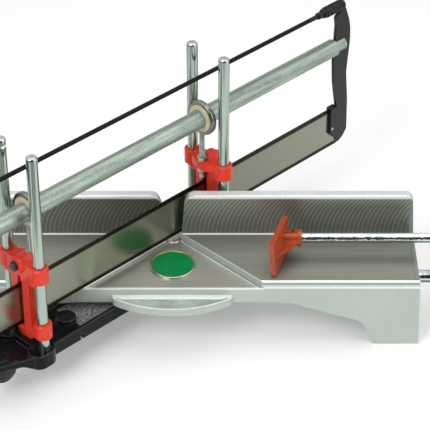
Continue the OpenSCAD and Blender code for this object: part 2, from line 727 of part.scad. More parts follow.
module carriage_body() {
    difference() {
        union() {
            for (t = [-1, 1]) translate([0, t * col_t, 0]) {
                translate([0, 0, up_z]) rotate_extrude() polygon([[0, 0], [collar_r - 0.8, 0],
                    [collar_r, 0.8], [collar_r, collar_h - 0.8], [collar_r - 0.8, collar_h],
                    [0, collar_h]]);
                translate([0, 0, low_z - 0.7]) rotate_extrude() polygon([[0, 0], [collar_r - 0.8, 0],
                    [collar_r, 0.8], [collar_r, collar_h - 1.3], [collar_r - 0.8, collar_h - 0.5],
                    [0, collar_h - 0.5]]);
            }
            // Guide posts beside the blade, between the lower and upper collars
            translate([post_u0, -post_w, low_z])
                cube([post_u1 - post_u0, 2 * post_w, up_z - low_z + 3]);
            for (t = [-1, 1], z = [low_z, up_z - 4]) translate([post_u0, t > 0 ? 0 : -col_t, z])
                cube([post_u1 - post_u0, col_t, 8]);
            // Bridge over the blade, arched towards the button
            rotate([90, 0, 90]) translate([0, 0, post_u0]) linear_extrude(post_u1 - post_u0)
                polygon([[-col_t, up_z], [-col_t, carriage_top - 0.8],
                    [-8, carriage_top - 0.4],
                    each arc([0, button_z], 8, 150, 30, 10),
                    [8, carriage_top - 0.4], [col_t, carriage_top - 0.8], [col_t, up_z]]);
            // Domed boss of the release button
            translate([0, 0, button_z]) rotate([0, 90, 0]) rotate_extrude() polygon(concat(
                [[0, 0]], arc([dome_r - 4, dome_u - 2], 4, -20, 90, 5), [[0, dome_u + 2]]));
            // Shelf of the eye ring's stud
            translate([0, 0, shelf_z]) linear_extrude(shelf_t) shelf_plan();
            // Tongue that closes the posts under the teeth
            intersection() {
                translate([tongue_u - 7.6, 0, low_z + 0.8]) rotate([0, 90, 0])
                    cylinder(r = 12.5, h = 7.6);
                translate([-5, -20, low_z - 12]) cube([20, 40, 16]);
            }
        }
        for (t = [-1, 1]) translate([0, t * col_t, low_z - 20])
            cylinder(d = col_d + 2 * run_fit, h = carriage_top - low_z + 40);
        // Saw slot between the posts, and the window above the spine
        translate([0, 0, teeth_z - 2]) linear_extrude(spine_z - teeth_z + 5) polygon([
            [post_u0 - 1, 3.6], [post_u0 + 2.5, slot_w / 2], [post_u1 - 2.5, slot_w / 2],
            [post_u1 + 1, 3.6], [30, 3.6], [30, -3.6], [post_u1 + 1, -3.6],
            [post_u1 - 2.5, -slot_w / 2], [post_u0 + 2.5, -slot_w / 2], [post_u0 - 1, -3.6],
            [-30, -3.6], [-30, 3.6]]);
        rotate([90, 0, 90]) translate([0, 0, -30]) linear_extrude(60)
            polygon(outline([[-2, spine_z - 2, 0], [-2, up_z - 0.5, 1.5],
                [2, up_z - 0.5, 1.5], [2, spine_z - 2, 0]], 4));
        // Stud hole with spot faces for its nuts, button bore and catch bore
        translate([-stud_u, 0, shelf_z - 1]) cylinder(r = stud_r + 0.03, h = shelf_t + 20);
        translate([-stud_u, 0, shelf_z - 12]) cylinder(r = 5, h = 12);
        translate([-stud_u, 0, shelf_top]) cylinder(r = 5, h = 12);
        translate([cap_floor, 0, button_z]) rotate([0, 90, 0])
            cylinder(r = button_d / 2 + 0.05, h = 30);
        translate([stem_u - button_travel - 0.1, 0, button_z]) rotate([0, 90, 0])
            cylinder(r = stem_r + 0.05, h = cap_floor - stem_u + button_travel + 1);
        translate([catch_u, 0, button_z]) rotate([90, 0, 0])
            cylinder(r = catch_r + 0.08, h = col_t);
    }
}

// Release button: a cap over its spring, on a stem that the catch passes through
module button() {
    r = button_d / 2;
    cap_end = dome_u + 2 + button_travel + 0.2;
    translate([0, 0, button_z]) rotate([0, 90, 0]) difference() {
        rotate_extrude() polygon([[0, stem_u], [stem_r, stem_u], [stem_r, cap_u], [r, cap_u],
            [r, cap_end - 0.8], [r - 0.8, cap_end], [0, cap_end]]);
        // Window of the catch, long enough for the travel
        translate([-catch_r - 0.1, -r, catch_u - catch_r - 0.1])
            cube([2 * catch_r + 0.2, 2 * r, 2 * catch_r + 0.2 + button_travel]);
    }
}

// Catch bolt that holds the carriage at the column's notch at the top of the lift
module catch_bolt() {
    translate([catch_u, -0.5, button_z]) rotate([90, 0, 0])
        cylinder(r = catch_r, h = col_t - col_d / 2 - 0.58);
}

module button_spring() {
    translate([cap_floor + 0.02, 0, button_z]) rotate([0, 90, 0])
        coil(3.5, 0.35, cap_u - cap_floor - 0.04, 2);
}

// Eye ring with its threaded stud
module eye_ring() {
    translate([-stud_u, 0, tube_z]) rotate([0, 90, 0]) difference() {
        union() {
            rotate_extrude($fn = 96) translate([ring_in, 0]) polygon(outline([
                [0, -ring_w / 2, 0.8], [ring_t, -ring_w / 2, 1.6], [ring_t, ring_w / 2, 1.6],
                [0, ring_w / 2, 0.8]], 4));
            rotate([0, 90, 0]) translate([0, 0, ring_in + 1])
                cylinder(r = stud_r, h = tube_z - stud_low - ring_in - 1);
        }
    }
}

// Plastic bush between the ring and the tube
module bush() {
    translate([-stud_u, 0, tube_z]) rotate([0, 90, 0]) rotate_extrude($fn = 96) polygon([
        [bush_r, -ring_w / 2 - 0.9], [ring_in - 0.4, -ring_w / 2 - 0.9],
        [ring_in - 0.02, -ring_w / 2 - 0.5], [ring_in - 0.02, ring_w / 2 + 0.5],
        [ring_in - 0.4, ring_w / 2 + 0.9], [bush_r, ring_w / 2 + 0.9]]);
}

// Nuts over and under the shelf
module stud_nuts() {
    translate([-stud_u, 0, shelf_top + 0.03]) hex_nut(8, nut_h, stud_r + 0.02);
    translate([-stud_u, 0, shelf_z - nut_h - 0.03]) hex_nut(8, nut_h, stud_r + 0.02);
}

// Places a shape of the rear end of the saw frame at its rear or, mirrored, its front end
module frame_end(front) {
    at_saw() if (front) translate([2 * saw_mid, 0, 0]) mirror([1, 0, 0]) children();
    else children();
}

module saw_tube() {
    color([0.6, 0.66, 0.62]) at_saw() translate([-tube_end, 0, tube_z]) rotate([0, 90, 0])
        difference() {
            cylinder(d = tube_d, h = 2 * (tube_end + saw_mid));
            translate([0, 0, -1]) cylinder(d = tube_d - 2 * tube_wall,
                h = 2 * (tube_end + saw_mid) + 2);
        }
}

// Turned plug in the tube's end, slotted for the frame arm
module plug() {
    translate([-tube_end, 0, tube_z]) rotate([0, -90, 0]) difference() {
        union() {
            translate([0, 0, -24]) cylinder(d = tube_d - 2 * tube_wall - 0.04, h = 24.5);
            rotate_extrude() polygon([[0, 0.02], [tube_d / 2 - 0.6, 0.02], [plug_r, 2],
                [plug_r, plug_out - 1.5], [plug_r - 1.5, plug_out], [0, plug_out]]);
        }
        translate([-20, -lever_t / 2 - 0.06, -lever_in])
            cube([40, lever_t + 0.12, plug_out + lever_in + 2]);
        rotate([90, 0, 0]) translate([0, plug_out / 2, -20]) cylinder(r = 2.02, h = 40);
    }
}

// Outline of the flat frame arm, rear end, in s and z; it starts at the blade's tail
function lever_outline() = let (b = -blade_back) outline([
    [b + 0.9, rod_z + 3.8, 1], [b - 0.7, rod_z + 3.5, 1.5], [b - 12.2, tube_z + 18, 60],
    [b - 12, tube_z - 2, 30], [b - 8.6, tube_z - 34, 40], [b - 12, spine_z + 2, 30],
    [b - 12.8, teeth_z + 12, 3], [b - 7.5, teeth_z + 5.4, 6], [b, teeth_z + 1.2, 2],
    [b + 3.4, teeth_z + 6, 0], [b + 3.4, spine_z - 1, 3], [b + 8.8, tube_z - 40, 40],
    [b + 10.4, tube_z - 16, 20], [b + 8.4, tube_z + 24, 20], [b + 10, rod_z - 10, 3],
    [b + 0.9, rod_z - 6, 1]], 4);

module lever_plate() {
    difference() {
        side_bar(lever_outline(), -lever_t / 2, lever_t / 2);
        // Slot for the blade's end
        translate([-blade_back - 0.3, -blade_t / 2 - 0.06, teeth_z - 1])
            cube([30, blade_t + 0.12, blade_h + 1.3]);
        translate([-tube_end - plug_out / 2, 20, tube_z]) rotate([90, 0, 0])
            cylinder(r = 2.03, h = 40);
    }
}

// Arm with the boss at its top that takes the pull of the rod: countersunk for the screw's
// head at the rear, longer for the nut at the front
module frame_lever(front) {
    boss_out = front ? front_boss : rear_boss;
    color([0.25, 0.27, 0.26]) frame_end(front) difference() {
        union() {
            lever_plate();
            translate([-blade_back - boss_out, 0, rod_z]) rotate([0, 90, 0])
                cylinder(r = head_r + 0.8, h = boss_out + 0.9);
        }
        translate([-blade_back - 20, 0, rod_z]) rotate([0, 90, 0])
            cylinder(r = rod_d / 2 + 0.1, h = 40);
        if (front) {
            for (z = grip_screw_z) translate([-blade_back - 3.8, 20, z]) rotate([90, 0, 0])
                cylinder(r = 2.03, h = 40);
        } else translate([-blade_back - rear_boss - 0.04, 0, rod_z]) rotate([0, 90, 0])
            cylinder(r1 = head_r + 0.1, r2 = rod_d / 2 + 0.1, h = head_r - rod_d / 2);
    }
}

module lever_pins() {
    color([0.6, 0.6, 0.58]) for (f = [false, true]) frame_end(f)
        translate([-tube_end - plug_out / 2, plug_r - 0.1, tube_z]) rotate([90, 0, 0])
            cylinder(r = 1.98, h = 2 * plug_r - 0.2);
}

// Long rod from the front arm into the tension nut
module tension_rod() {
    color([0.12, 0.12, 0.12]) at_saw() translate([-nut_s + nut_l - 12, 0, rod_z])
        rotate([0, 90, 0]) cylinder(d = rod_d, h = 2 * saw_mid + blade_back + rod_out + nut_s - nut_l + 12);
}

// Screw with a flat head that ties the rear arm to the tension nut
module tension_screw() {
    color([0.3, 0.3, 0.3]) at_saw() translate([-blade_back - rear_boss - 0.04, 0, rod_z])
        rotate([0, 90, 0]) {
            cylinder(r1 = head_r, r2 = rod_d / 2, h = head_r - rod_d / 2);
            cylinder(d = rod_d, h = 14);
        }
}

// Nuts on the rod: one outside the front arm, one locked against the tension nut
module rod_nuts() {
    color([0.12, 0.12, 0.12]) {
        frame_end(true) translate([-blade_back - front_boss - 5.04, 0, rod_z]) rotate([0, 90, 0])
            hex_nut(9, 5, rod_d / 2 + 0.02);
        at_saw() translate([-nut_s + nut_l + 0.04, 0, rod_z]) rotate([0, 90, 0])
            hex_nut(6.2, 6.5, rod_d / 2 + 0.02);
    }
}

// Long nut with a cross hole; turning it draws the rod and the screw together
module tension_nut() {
    color([0.1, 0.1, 0.1]) at_saw() translate([-nut_s, 0, rod_z]) rotate([0, 90, 0])
        difference() {
            rotate_extrude() polygon([[0, 0], [nut_r - 0.6, 0], [nut_r, 0.6],
                [nut_r, nut_l - 4.5], [nut_r - 0.8, nut_l - 4.1], [nut_r - 0.8, nut_l - 0.8],
                [nut_r - 1.6, nut_l], [0, nut_l]]);
            translate([0, 0, -1]) cylinder(r = rod_d / 2 + 0.04, h = nut_l + 2);
            translate([0, 20, nut_l - 8]) rotate([90, 0, 0]) cylinder(r = 1.2, h = 40, $fn = 24);
            for (a = [0:30:330]) rotate([0, 0, a + 15]) translate([nut_r + 0.25, 0, 1.4])
                cylinder(r = 0.6, h = nut_l - 12, $fn = 16);
        }
}

module blade() {
    n = floor(blade_l / tooth_pitch);
    pitch = blade_l / n;
    color([0.5, 0.52, 0.48]) at_saw() translate([-blade_back, 0, 0]) difference() {
        side_bar(concat([[0, teeth_z + tooth_depth], [0, spine_z - 3], [3, spine_z],
            [blade_l - 3, spine_z], [blade_l, spine_z - 3], [blade_l, teeth_z + tooth_depth]],
            [for (i = [n - 1:-1:1]) each [[(i + 0.5) * pitch, teeth_z],
                [i * pitch, teeth_z + tooth_depth]]]), -blade_t / 2, blade_t / 2);
        for (x = [pin_in, blade_l - pin_in]) translate([x, 5, teeth_z + blade_h / 2])
            rotate([90, 0, 0]) cylinder(r = 1.6, h = 10, $fn = 24);
    }
}

// Clips that grip the blade's ends, one on each arm
module blade_clips() {
    color([0.1, 0.11, 0.11]) for (f = [false, true]) frame_end(f) difference() {
        side_bar(outline([[-blade_back + 3.6, teeth_z + 9.5, 0],
            [-blade_back + 3.6, spine_z + 0.8, 0.5], [-blade_back + 12.6, spine_z + 0.8, 1],
            [-blade_back + 13.4, spine_z - 3, 2], [-blade_back + 13.2, teeth_z + 17, 1],
            [-blade_back + 8, teeth_z + 11, 1]], 3),
            -3.4, 3.4);
        translate([-blade_back - 3, -blade_t / 2 - 0.04, teeth_z - 1])
            cube([30, blade_t + 0.08, blade_h + 1.03]);
        translate([-blade_back + pin_in, 10, teeth_z + blade_h / 2]) rotate([90, 0, 0])
            cylinder(r = 1.52, h = 20, $fn = 24);
    }
}

module blade_pins() {
    color([0.6, 0.6, 0.58]) for (f = [false, true]) frame_end(f)
        translate([-blade_back + pin_in, 4, teeth_z + blade_h / 2]) rotate([90, 0, 0])
            cylinder(r = 1.5, h = 8, $fn = 24);
}

// Section of the hand grip: a flat oval
module grip_section(depth) {
    for (s = [-1, 1]) translate([0, s * (grip_w - depth) / 2]) circle(d = depth);
    square([depth, grip_w - depth], center = true);
}

// D shaped handle: a shoe round the front arm and a bow for the hand
module handle() {
    x0 = grip_s;
    z0 = grip_low;
    z1 = grip_high;
    d = 24;
    r = 30;
    reach = 62;
    color([0.08, 0.08, 0.08]) at_saw() difference() {
        union() {
            // Shoe
            translate([x0, 0, z0 - d / 2]) linear_extrude(z1 - z0 + d) grip_section(d);
            // Lower and upper arms of the bow
            for (z = [z0, z1]) translate([x0, 0, z]) rotate([0, 90, 0])
                linear_extrude(reach - r) grip_section(d);
            // Rounded corners
            translate([x0 + reach - r, 0, z0 + r]) rotate([-90, 0, 0])
                rotate_extrude(angle = 90) translate([r, 0]) rotate([0, 0, 0]) grip_section(d);
            translate([x0 + reach - r, 0, z1 - r]) rotate([-90, -90, 0])
                rotate_extrude(angle = 90) translate([r, 0]) grip_section(d);
            translate([x0 + reach, 0, z0 + r]) linear_extrude(z1 - z0 - 2 * r) grip_section(d);
            for (z = [z0, z1]) translate([x0, 0, z]) rotate([90, 0, 0])
                translate([0, 0, -(grip_w - d) / 2]) cylinder(d = d, h = grip_w - d);
        }
        // Slot for the frame arm, with the blade clip, the tube plug and the rod left free
        translate([x0 - 40, -lever_t / 2 - 0.06, z0 - 40]) cube([50, lever_t + 0.12, 220]);
        translate([x0 - 30, -3.8, z0 - 40]) cube([27, 7.6, spine_z - z0 + 44]);
        translate([x0 - 30, 0, tube_z]) rotate([0, 90, 0]) cylinder(r = plug_r + 0.4, h = 38);
        for (z = grip_screw_z) translate([x0 - 1, 20, z]) rotate([90, 0, 0]) {
            cylinder(r = 2.03, h = 40);
            cylinder(r = 3.8, h = 20 - grip_w / 2 + 3);
        }
    }
}

module handle_screws() {
    color([0.6, 0.6, 0.58]) at_saw() for (z = grip_screw_z)
        translate([grip_s - 1, grip_w / 2 - 0.6, z]) rotate([90, 0, 0]) {
            cylinder(r = 3.6, h = 2.3);
            cylinder(r = 1.98, h = grip_w - 4);
        }
}

// Length stop: plate and hub on the upper rod
module stop_plate() {
    color([0.78, 0.34, 0.2]) at_pivot() translate([stop_x, -stop_y, stop_z]) difference() {
        union() {
            // Plate, turned so that its rear end points along the fence
            rotate([0, -stop_lean, -stop_turn]) translate([-stop_t, -stop_front, stop_over])
                cube([stop_t, stop_l, stop_h]);
            rotate([0, 90, 0]) translate([0, 0, -6]) cylinder(d = stop_d + 4.4, h = 19);
            rotate([0, 90, 0]) translate([0, 0, 10.4]) cylinder(d = flange_d, h = 3.6);
            // Upright web through the hub, and a flat web to the plate's front edge
            translate([-5, -1.6, -flange_d / 2]) cube([18, 3.2, flange_d]);
            translate([0, 0, -1.6]) linear_extrude(3.2) polygon([[-5, 0], [12, 0],
                [12, -flange_d / 2 + 1], [-10.4, -31], [-13, -31]]);
        }
        // Nothing stands out of the plate's working face
        rotate([0, -stop_lean, -stop_turn]) translate([-stop_t - 20, -60, -60])
            cube([20, 120, 120]);
        translate([1, 0, 0]) rotate([0, 90, 0]) cylinder(d = stop_d + 0.04, h = 30);
        // Thread of the set screw
        translate([6, 0, 0]) cylinder(r = 1.53, h = 30, $fn = 24);
    }
}

module stop_rod() {
    color([0.8, 0.8, 0.78]) at_pivot() translate([stop_x + 1.02, -stop_y, stop_z])
        rotate([0, 90, 0]) cylinder(d = stop_d, h = cross_x + 12 - stop_x - 1.04);
}

module stop_guide_rod() {
    color([0.8, 0.8, 0.78]) at_pivot() translate([guide_in, -stop_y, guide_z])
        rotate([0, 90, 0]) cylinder(d = guide_d, h = cross_x + 12 - guide_in - 0.02);
}

// Cross piece that joins the two rods outside the bed
module stop_cross_piece() {
    color([0.3, 0.31, 0.3]) at_pivot() difference() {
        translate([cross_x, -stop_y, 0]) rotate([90, 0, 90]) linear_extrude(16) polygon(concat(
            arc([0, stop_z], stop_d / 2 + 4.5, 0, 180, 16),
            arc([0, guide_z], guide_d / 2 + 4.5, 180, 360, 16)));
        translate([cross_x - 1, -stop_y, stop_z]) rotate([0, 90, 0])
            cylinder(d = stop_d + 0.04, h = 13);
        translate([cross_x - 1, -stop_y, guide_z]) rotate([0, 90, 0])
            cylinder(d = guide_d + 0.04, h = 13);
        for (z = [stop_z, guide_z]) translate([cross_x + 6, -stop_y - 20, z])
            rotate([-90, 0, 0]) cylinder(r = 2.03, h = 20);
    }
}

// Set screws of the rods: one in the stop plate's hub and two in the cross piece
module stop_screws() {
    color([0.25, 0.25, 0.25]) at_pivot() {
        translate([stop_x + 6, -stop_y, stop_z + stop_d / 2 + 0.05])
            cylinder(r = 1.5, h = 3.2, $fn = 24);
        for (p = [[stop_z, stop_d / 2], [guide_z, guide_d / 2]])
            translate([cross_x + 6, -stop_y - p[1] - 5.4, p[0]]) rotate([-90, 0, 0])
                cylinder(r = 2, h = 5.3);
    }
}

// Ribbed thumb screw under the end of the bed that clamps the guide rod
module stop_clamp_screw() {
    top = guide_z - guide_d / 2 - 0.1;
    thumb_r = 8;
    thumb_h = 9;
    shank = 16;
    color([0.12, 0.12, 0.12]) at_pivot() translate([foot_x - 13, -stop_y, top - shank])
        difference() {
            union() {
                cylinder(r = 3, h = shank);
                translate([0, 0, -thumb_h]) rotate_extrude() polygon([[0, 0], [thumb_r - 0.8, 0],
                    [thumb_r, 0.8], [thumb_r, thumb_h - 0.8], [thumb_r - 0.8, thumb_h],
                    [0, thumb_h]]);
            }
            for (a = [0:30:330]) rotate([0, 0, a]) translate([thumb_r + 0.4, 0, -thumb_h - 1])
                cylinder(r = 1.2, h = thumb_h + 2, $fn = 16);
        }
}

bed();
round_plate();
pivot_bolt();
pivot_washers();
pivot_nut();
swing_arm();
column(col_front, 1, 0);  // column_front_right
column(col_front, -1, 1);  // column_front_left
column(-col_rear, 1, -1);  // column_rear_right
column(-col_rear, -1, 0);  // column_rear_left
column_screws();
index_lever();
index_pin();
index_knob();
index_spring();
color([0.87, 0.29, 0.23]) at_carriage(true) carriage_body();  // front_carriage
color([0.87, 0.29, 0.23]) at_carriage(false) carriage_body();  // rear_carriage
color([0.1, 0.1, 0.1]) at_carriage(true) button();  // front_button
color([0.1, 0.1, 0.1]) at_carriage(false) button();  // rear_button
color([0.6, 0.6, 0.6]) at_carriage(true) catch_bolt();  // front_catch
color([0.6, 0.6, 0.6]) at_carriage(false) catch_bolt();  // rear_catch
color([0.7, 0.7, 0.7]) at_carriage(true) button_spring();  // front_button_spring
color([0.7, 0.7, 0.7]) at_carriage(false) button_spring();  // rear_button_spring
color([0.7, 0.7, 0.68]) at_carriage(true) eye_ring();  // front_eye_ring
color([0.7, 0.7, 0.68]) at_carriage(false) eye_ring();  // rear_eye_ring
color([0.9, 0.87, 0.72]) at_carriage(true) bush();  // front_bush
color([0.9, 0.87, 0.72]) at_carriage(false) bush();  // rear_bush
color([0.75, 0.75, 0.73]) at_carriage(true) stud_nuts();  // front_stud_nuts
color([0.75, 0.75, 0.73]) at_carriage(false) stud_nuts();  // rear_stud_nuts
saw_tube();
color([0.6, 0.65, 0.6]) frame_end(true) plug();  // front_plug
color([0.6, 0.65, 0.6]) frame_end(false) plug();  // rear_plug
frame_lever(true);  // front_lever
frame_lever(false);  // rear_lever
lever_pins();
handle();
handle_screws();
tension_rod();
tension_screw();
rod_nuts();
tension_nut();
blade();
blade_clips();
blade_pins();
stop_guide_rod();
stop_rod();
stop_cross_piece();
stop_plate();
stop_screws();
stop_clamp_screw();
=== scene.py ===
"""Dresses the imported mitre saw: finishes for all CAD nodes, round springs, threads and studio."""

import json
import math

import bpy
import numpy as np
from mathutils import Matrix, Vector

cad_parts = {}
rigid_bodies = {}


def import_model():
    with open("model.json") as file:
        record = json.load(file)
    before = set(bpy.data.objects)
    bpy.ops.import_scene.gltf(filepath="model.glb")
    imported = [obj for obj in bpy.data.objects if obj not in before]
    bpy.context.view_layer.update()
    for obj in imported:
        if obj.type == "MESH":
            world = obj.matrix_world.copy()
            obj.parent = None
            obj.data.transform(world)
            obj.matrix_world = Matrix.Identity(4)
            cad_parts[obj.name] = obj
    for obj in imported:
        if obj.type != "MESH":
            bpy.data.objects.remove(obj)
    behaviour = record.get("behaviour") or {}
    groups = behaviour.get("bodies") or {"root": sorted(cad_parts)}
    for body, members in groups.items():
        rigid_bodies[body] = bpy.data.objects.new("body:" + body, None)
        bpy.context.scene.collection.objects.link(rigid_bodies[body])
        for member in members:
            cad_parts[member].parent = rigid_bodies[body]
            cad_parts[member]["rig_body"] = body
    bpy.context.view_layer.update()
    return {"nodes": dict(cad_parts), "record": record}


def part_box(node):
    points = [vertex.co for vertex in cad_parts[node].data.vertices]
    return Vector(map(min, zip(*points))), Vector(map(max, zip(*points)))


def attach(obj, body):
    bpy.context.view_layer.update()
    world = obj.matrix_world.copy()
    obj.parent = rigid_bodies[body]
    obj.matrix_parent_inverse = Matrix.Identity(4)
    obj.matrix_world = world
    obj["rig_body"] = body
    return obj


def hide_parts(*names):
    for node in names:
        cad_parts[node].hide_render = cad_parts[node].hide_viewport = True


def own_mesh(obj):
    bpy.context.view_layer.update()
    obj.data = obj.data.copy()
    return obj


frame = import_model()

bl_info = {
    "name": "Mitre saw dressing",
    "version": (1, 0, 0),
    "blender": (4, 5, 0),
    "location": "3D View > Sidebar > Mitre saw",
    "description": "Finishes, springs, threads and studio for a hand mitre saw",
    "category": "Object",
}

# Places that the finishes need, in metres, as the solids have them
PIVOT = (0.0, 0.032)
TABLE_Z = 0.069
FENCE_Y = 0.032
FENCE_TOP = 0.1112
FRONT_Y = -0.0435
BED_END = 0.224
POCKET_Z = 0.0623
POCKET_END = 0.083
LIP_TOP = 0.0549
LIP_END = 0.0545
LIP_CREST_RADIUS = 0.0952
LIP_CREST_Y = -0.0458
PLATE_AT = (0.0, -0.0085)
PLATE_RADIUS = 0.02
ARM_FLOOR_ALONG = (0.0765, 0.133)
ARM_FLOOR_ACROSS = (-0.0187, 0.0187)
ARM_FLOOR_HEIGHT = (0.0402, 0.0407)
BLADE_LOW = 0.0662
BLADE_HIGH = 0.1112

# Slack with which the masks find a face, and Y beyond the bed's front and its fence
NEAR = 0.0004
OVER = 0.0003
OUT_FRONT = -0.07
BEHIND_FENCE = 0.1

# Marks that only the finishes have: strips at the bed's ends, milling arcs, bands on the blade
TABLE_ROUND = 0.0036
TABLE_STRIP = 0.003
FENCE_STRIP = 0.0045
MILL_RADIUS = 0.055
MILL_FEED = 0.0041
MILL_RETURN = 0.0031
MILL_LEVEL = 0.0019
BAND_WIDTH = 0.0042
TINT_WIDTH = 0.0052

# Springs and threads: lengths, starts along the saw, and the points that they are drawn with
BUTTON_SPRING_LENGTH = 0.00536
THREAD_INSET = 0.0002
BOLT_THREAD_LENGTH = 0.0098
ROD_THREADS = {"rod_thread_rear": (-0.2025, 0.022), "rod_thread_front": (0.3165, 0.0186)}
RINGS_PER_TURN = 40
WIRE_POINTS = 12
RINGS_PER_PITCH = 8
THREAD_POINTS = 28

# Studio: rectangles that only reflections show, as material, lowest and highest corner
CARDS = {
    "mat_front": ("dark_card", (-2.0, -2.1, 0.002), (2.2, -0.62, 0.002)),
    "card_front": ("dark_card", (-2.0, -2.1, 0.002), (2.2, -2.1, 2.6)),
    "card_behind": ("dark_card", (-1.6, 2.4, 0.9), (1.8, 2.4, 3.4)),
    "mat_behind": ("dark_card", (-1.2, 0.3, 0.002), (1.2, 1.6, 0.002)),
    "mat_left": ("dark_card", (-1.2, -0.8, 0.002), (-0.42, 0.3, 0.002)),
    "mat_near": ("grey_card", (-0.25, -0.619, 0.002), (0.3, -0.33, 0.002)),
}
CARD_LEVELS = {"dark_card": 0.01, "grey_card": 0.36}
FLOOR_LEVEL = 0.82
FLOOR_GLOW = 0.22
CAMERA_AT = (0.03884, -1.36337, 1.0794)
CAMERA_TILT = math.radians(54.67)
SENSOR_WIDTH = 36.0

# The saw's directions at rest
SAW_TURN = math.radians(225)
ALONG = np.array([math.cos(SAW_TURN), math.sin(SAW_TURN), 0.0])
ACROSS = np.array([-math.sin(SAW_TURN), math.cos(SAW_TURN), 0.0])
UP = np.array([0.0, 0.0, 1.0])


def linear(red, green, blue):
    """Linear colour of a screen colour given as 0 to 255."""
    value = np.array([red, green, blue]) / 255
    curved = ((value + 0.055) / 1.055) ** 2.4
    return tuple(float(c) for c in np.where(value <= 0.04045, value / 12.92, curved))


def saw_point(along, across, height):
    """Point given along the saw, across it and above the bench, in metres."""
    return np.array([PIVOT[0], PIVOT[1], 0.0]) + along * ALONG + across * ACROSS + height * UP


def colour_prop(name, description, screen):
    return bpy.props.FloatVectorProperty(
        name=name, description=description, subtype="COLOR", size=3, min=0, max=1,
        default=linear(*screen))


def length_prop(name, description, metres):
    return bpy.props.FloatProperty(
        name=name, description=description, subtype="DISTANCE", unit="LENGTH",
        min=0, precision=5, default=metres)


def number_prop(name, description, value):
    return bpy.props.FloatProperty(name=name, description=description, min=0, default=value)


class MitreFinishes(bpy.types.PropertyGroup):
    """Colours and edge sizes of the finishes."""

    bed_paint: colour_prop("Bed paint", "Satin paint of the bed casting", (188, 200, 191))
    milled_metal: colour_prop("Milled metal", "Bare milled table and fence faces", (148, 150, 140))
    # Near white of the painted highlights on the bed's edges, lines and slopes, also mixed into its
    # crisp edges
    painted_highlight_white: colour_prop("Polished edge", "Bright rounded edges of the bed", (243, 247, 244))
    plate_green: colour_prop("Round plate", "Bare round plate in the pocket", (6, 128, 69))
    plate_gold: colour_prop("Plate ring", "Thin ring inside the plate's rim", (176, 146, 66))
    arm_black: colour_prop("Arm paint", "Glossy black paint of the swing arm", (17, 18, 18))
    arm_rough: colour_prop("Rough pocket", "Unpainted pocket floor of the arm", (138, 142, 140))
    column_steel: colour_prop("Columns", "Bright drawn steel of the columns", (176, 190, 180))
    chrome: colour_prop("Chrome", "Stop rods, studs and springs", (214, 224, 218))
    ring_steel: colour_prop("Eye rings", "Bare steel of the eye rings", (142, 142, 134))
    zinc: colour_prop("Zinc", "Zinc plated nuts, bolts and washers", (186, 184, 172))
    black_oxide: colour_prop("Black oxide", "Screws and the tension nut", (34, 34, 34))
    lever_paint: colour_prop("Frame paint", "Satin black of the saw frame", (27, 32, 30))
    plastic_black: colour_prop("Black plastic", "Knob, buttons and handle", (30, 31, 31))
    plastic_red: colour_prop("Red plastic", "Carriages", (233, 65, 45))
    plastic_orange: colour_prop("Orange plastic", "Stop plate", (172, 68, 34))
    ivory: colour_prop("Ivory", "Bushes in the eye rings", (208, 201, 172))
    tube_pale: colour_prop("Tube, pale", "Galvanised tube, pale spangle", (168, 183, 171))
    tube_dark: colour_prop("Tube, dark", "Galvanised tube, dull streaks", (128, 141, 130))
    blade_face: colour_prop("Blade face", "Ground face of the blade", (143, 147, 131))
    blade_band: colour_prop("Blade band", "Hardened bands of the spine and the teeth", (27, 31, 30))
    blade_brown: colour_prop("Blade tint", "Heat tint beside the bands", (128, 104, 72))
    cross_grey: colour_prop("Cross piece", "Paint of the stop's cross piece", (78, 80, 79))
    edge_radius: length_prop("Edge radius", "Rounding seen on crisp edges", 0.0004)


class MitreDetails(bpy.types.PropertyGroup):
    """Sizes of the springs and threads."""

    wire: length_prop("Spring wire", "Radius of the spring wire", 0.00035)
    index_coil: length_prop("Index spring", "Radius of the index lever's spring", 0.0042)
    button_coil: length_prop("Button spring", "Radius of a button's spring", 0.0035)
    stud_radius: length_prop("Stud radius", "Radius of an eye ring's stud", 0.00225)
    stud_pitch: length_prop("Stud pitch", "Pitch of the stud's thread", 0.001)
    rod_radius: length_prop("Rod radius", "Radius of the tension rod", 0.00205)
    rod_pitch: length_prop("Rod pitch", "Pitch of the rod's thread", 0.0007)
    bolt_radius: length_prop("Bolt radius", "Radius of the pivot bolt's threaded end", 0.004)
    bolt_pitch: length_prop("Bolt pitch", "Pitch of the pivot bolt's thread", 0.00125)
    thread_depth: length_prop("Thread depth", "Height of a thread over its rod", 0.00012)
    stud_thread_depth: length_prop("Stud thread depth", "Height of a stud's thread over its core",
                                   0.0003)


class MitreStudio(bpy.types.PropertyGroup):
    """Floor, lamps and camera."""

    floor_size: length_prop("Floor size", "Side of the square floor", 12.0)
    key_power: number_prop("Key lamp", "Power of the lamp at the upper left, in watts", 18.0)
    fill_power: number_prop("Fill lamp", "Power of the lamp at the right, in watts", 8.0)
    top_power: number_prop("Top lamp", "Power of the overhead lamp, in watts", 17.0)
    sky_level: number_prop("Sky", "Level of the white surround", 0.42)
    focal_length: number_prop("Focal length", "Camera lens in millimetres", 154.3)


# Node trees

def feed(tree, node, values):
    """Links each value that is a socket to the node's input of that name, and sets the others."""
    for key, value in values.items():
        if isinstance(value, bpy.types.NodeSocket):
            tree.links.new(value, node.inputs[key])
        else:
            node.inputs[key].default_value = value


def add(tree, kind, values=None, **settings):
    """New node of a kind with its settings and input values."""
    made = tree.nodes.new("ShaderNode" + kind)
    for key, value in settings.items():
        setattr(made, key, value)
    feed(tree, made, values or {})
    return made


def maths(tree, operation, *values):
    return add(tree, "Math", dict(enumerate(values)), operation=operation).outputs[0]


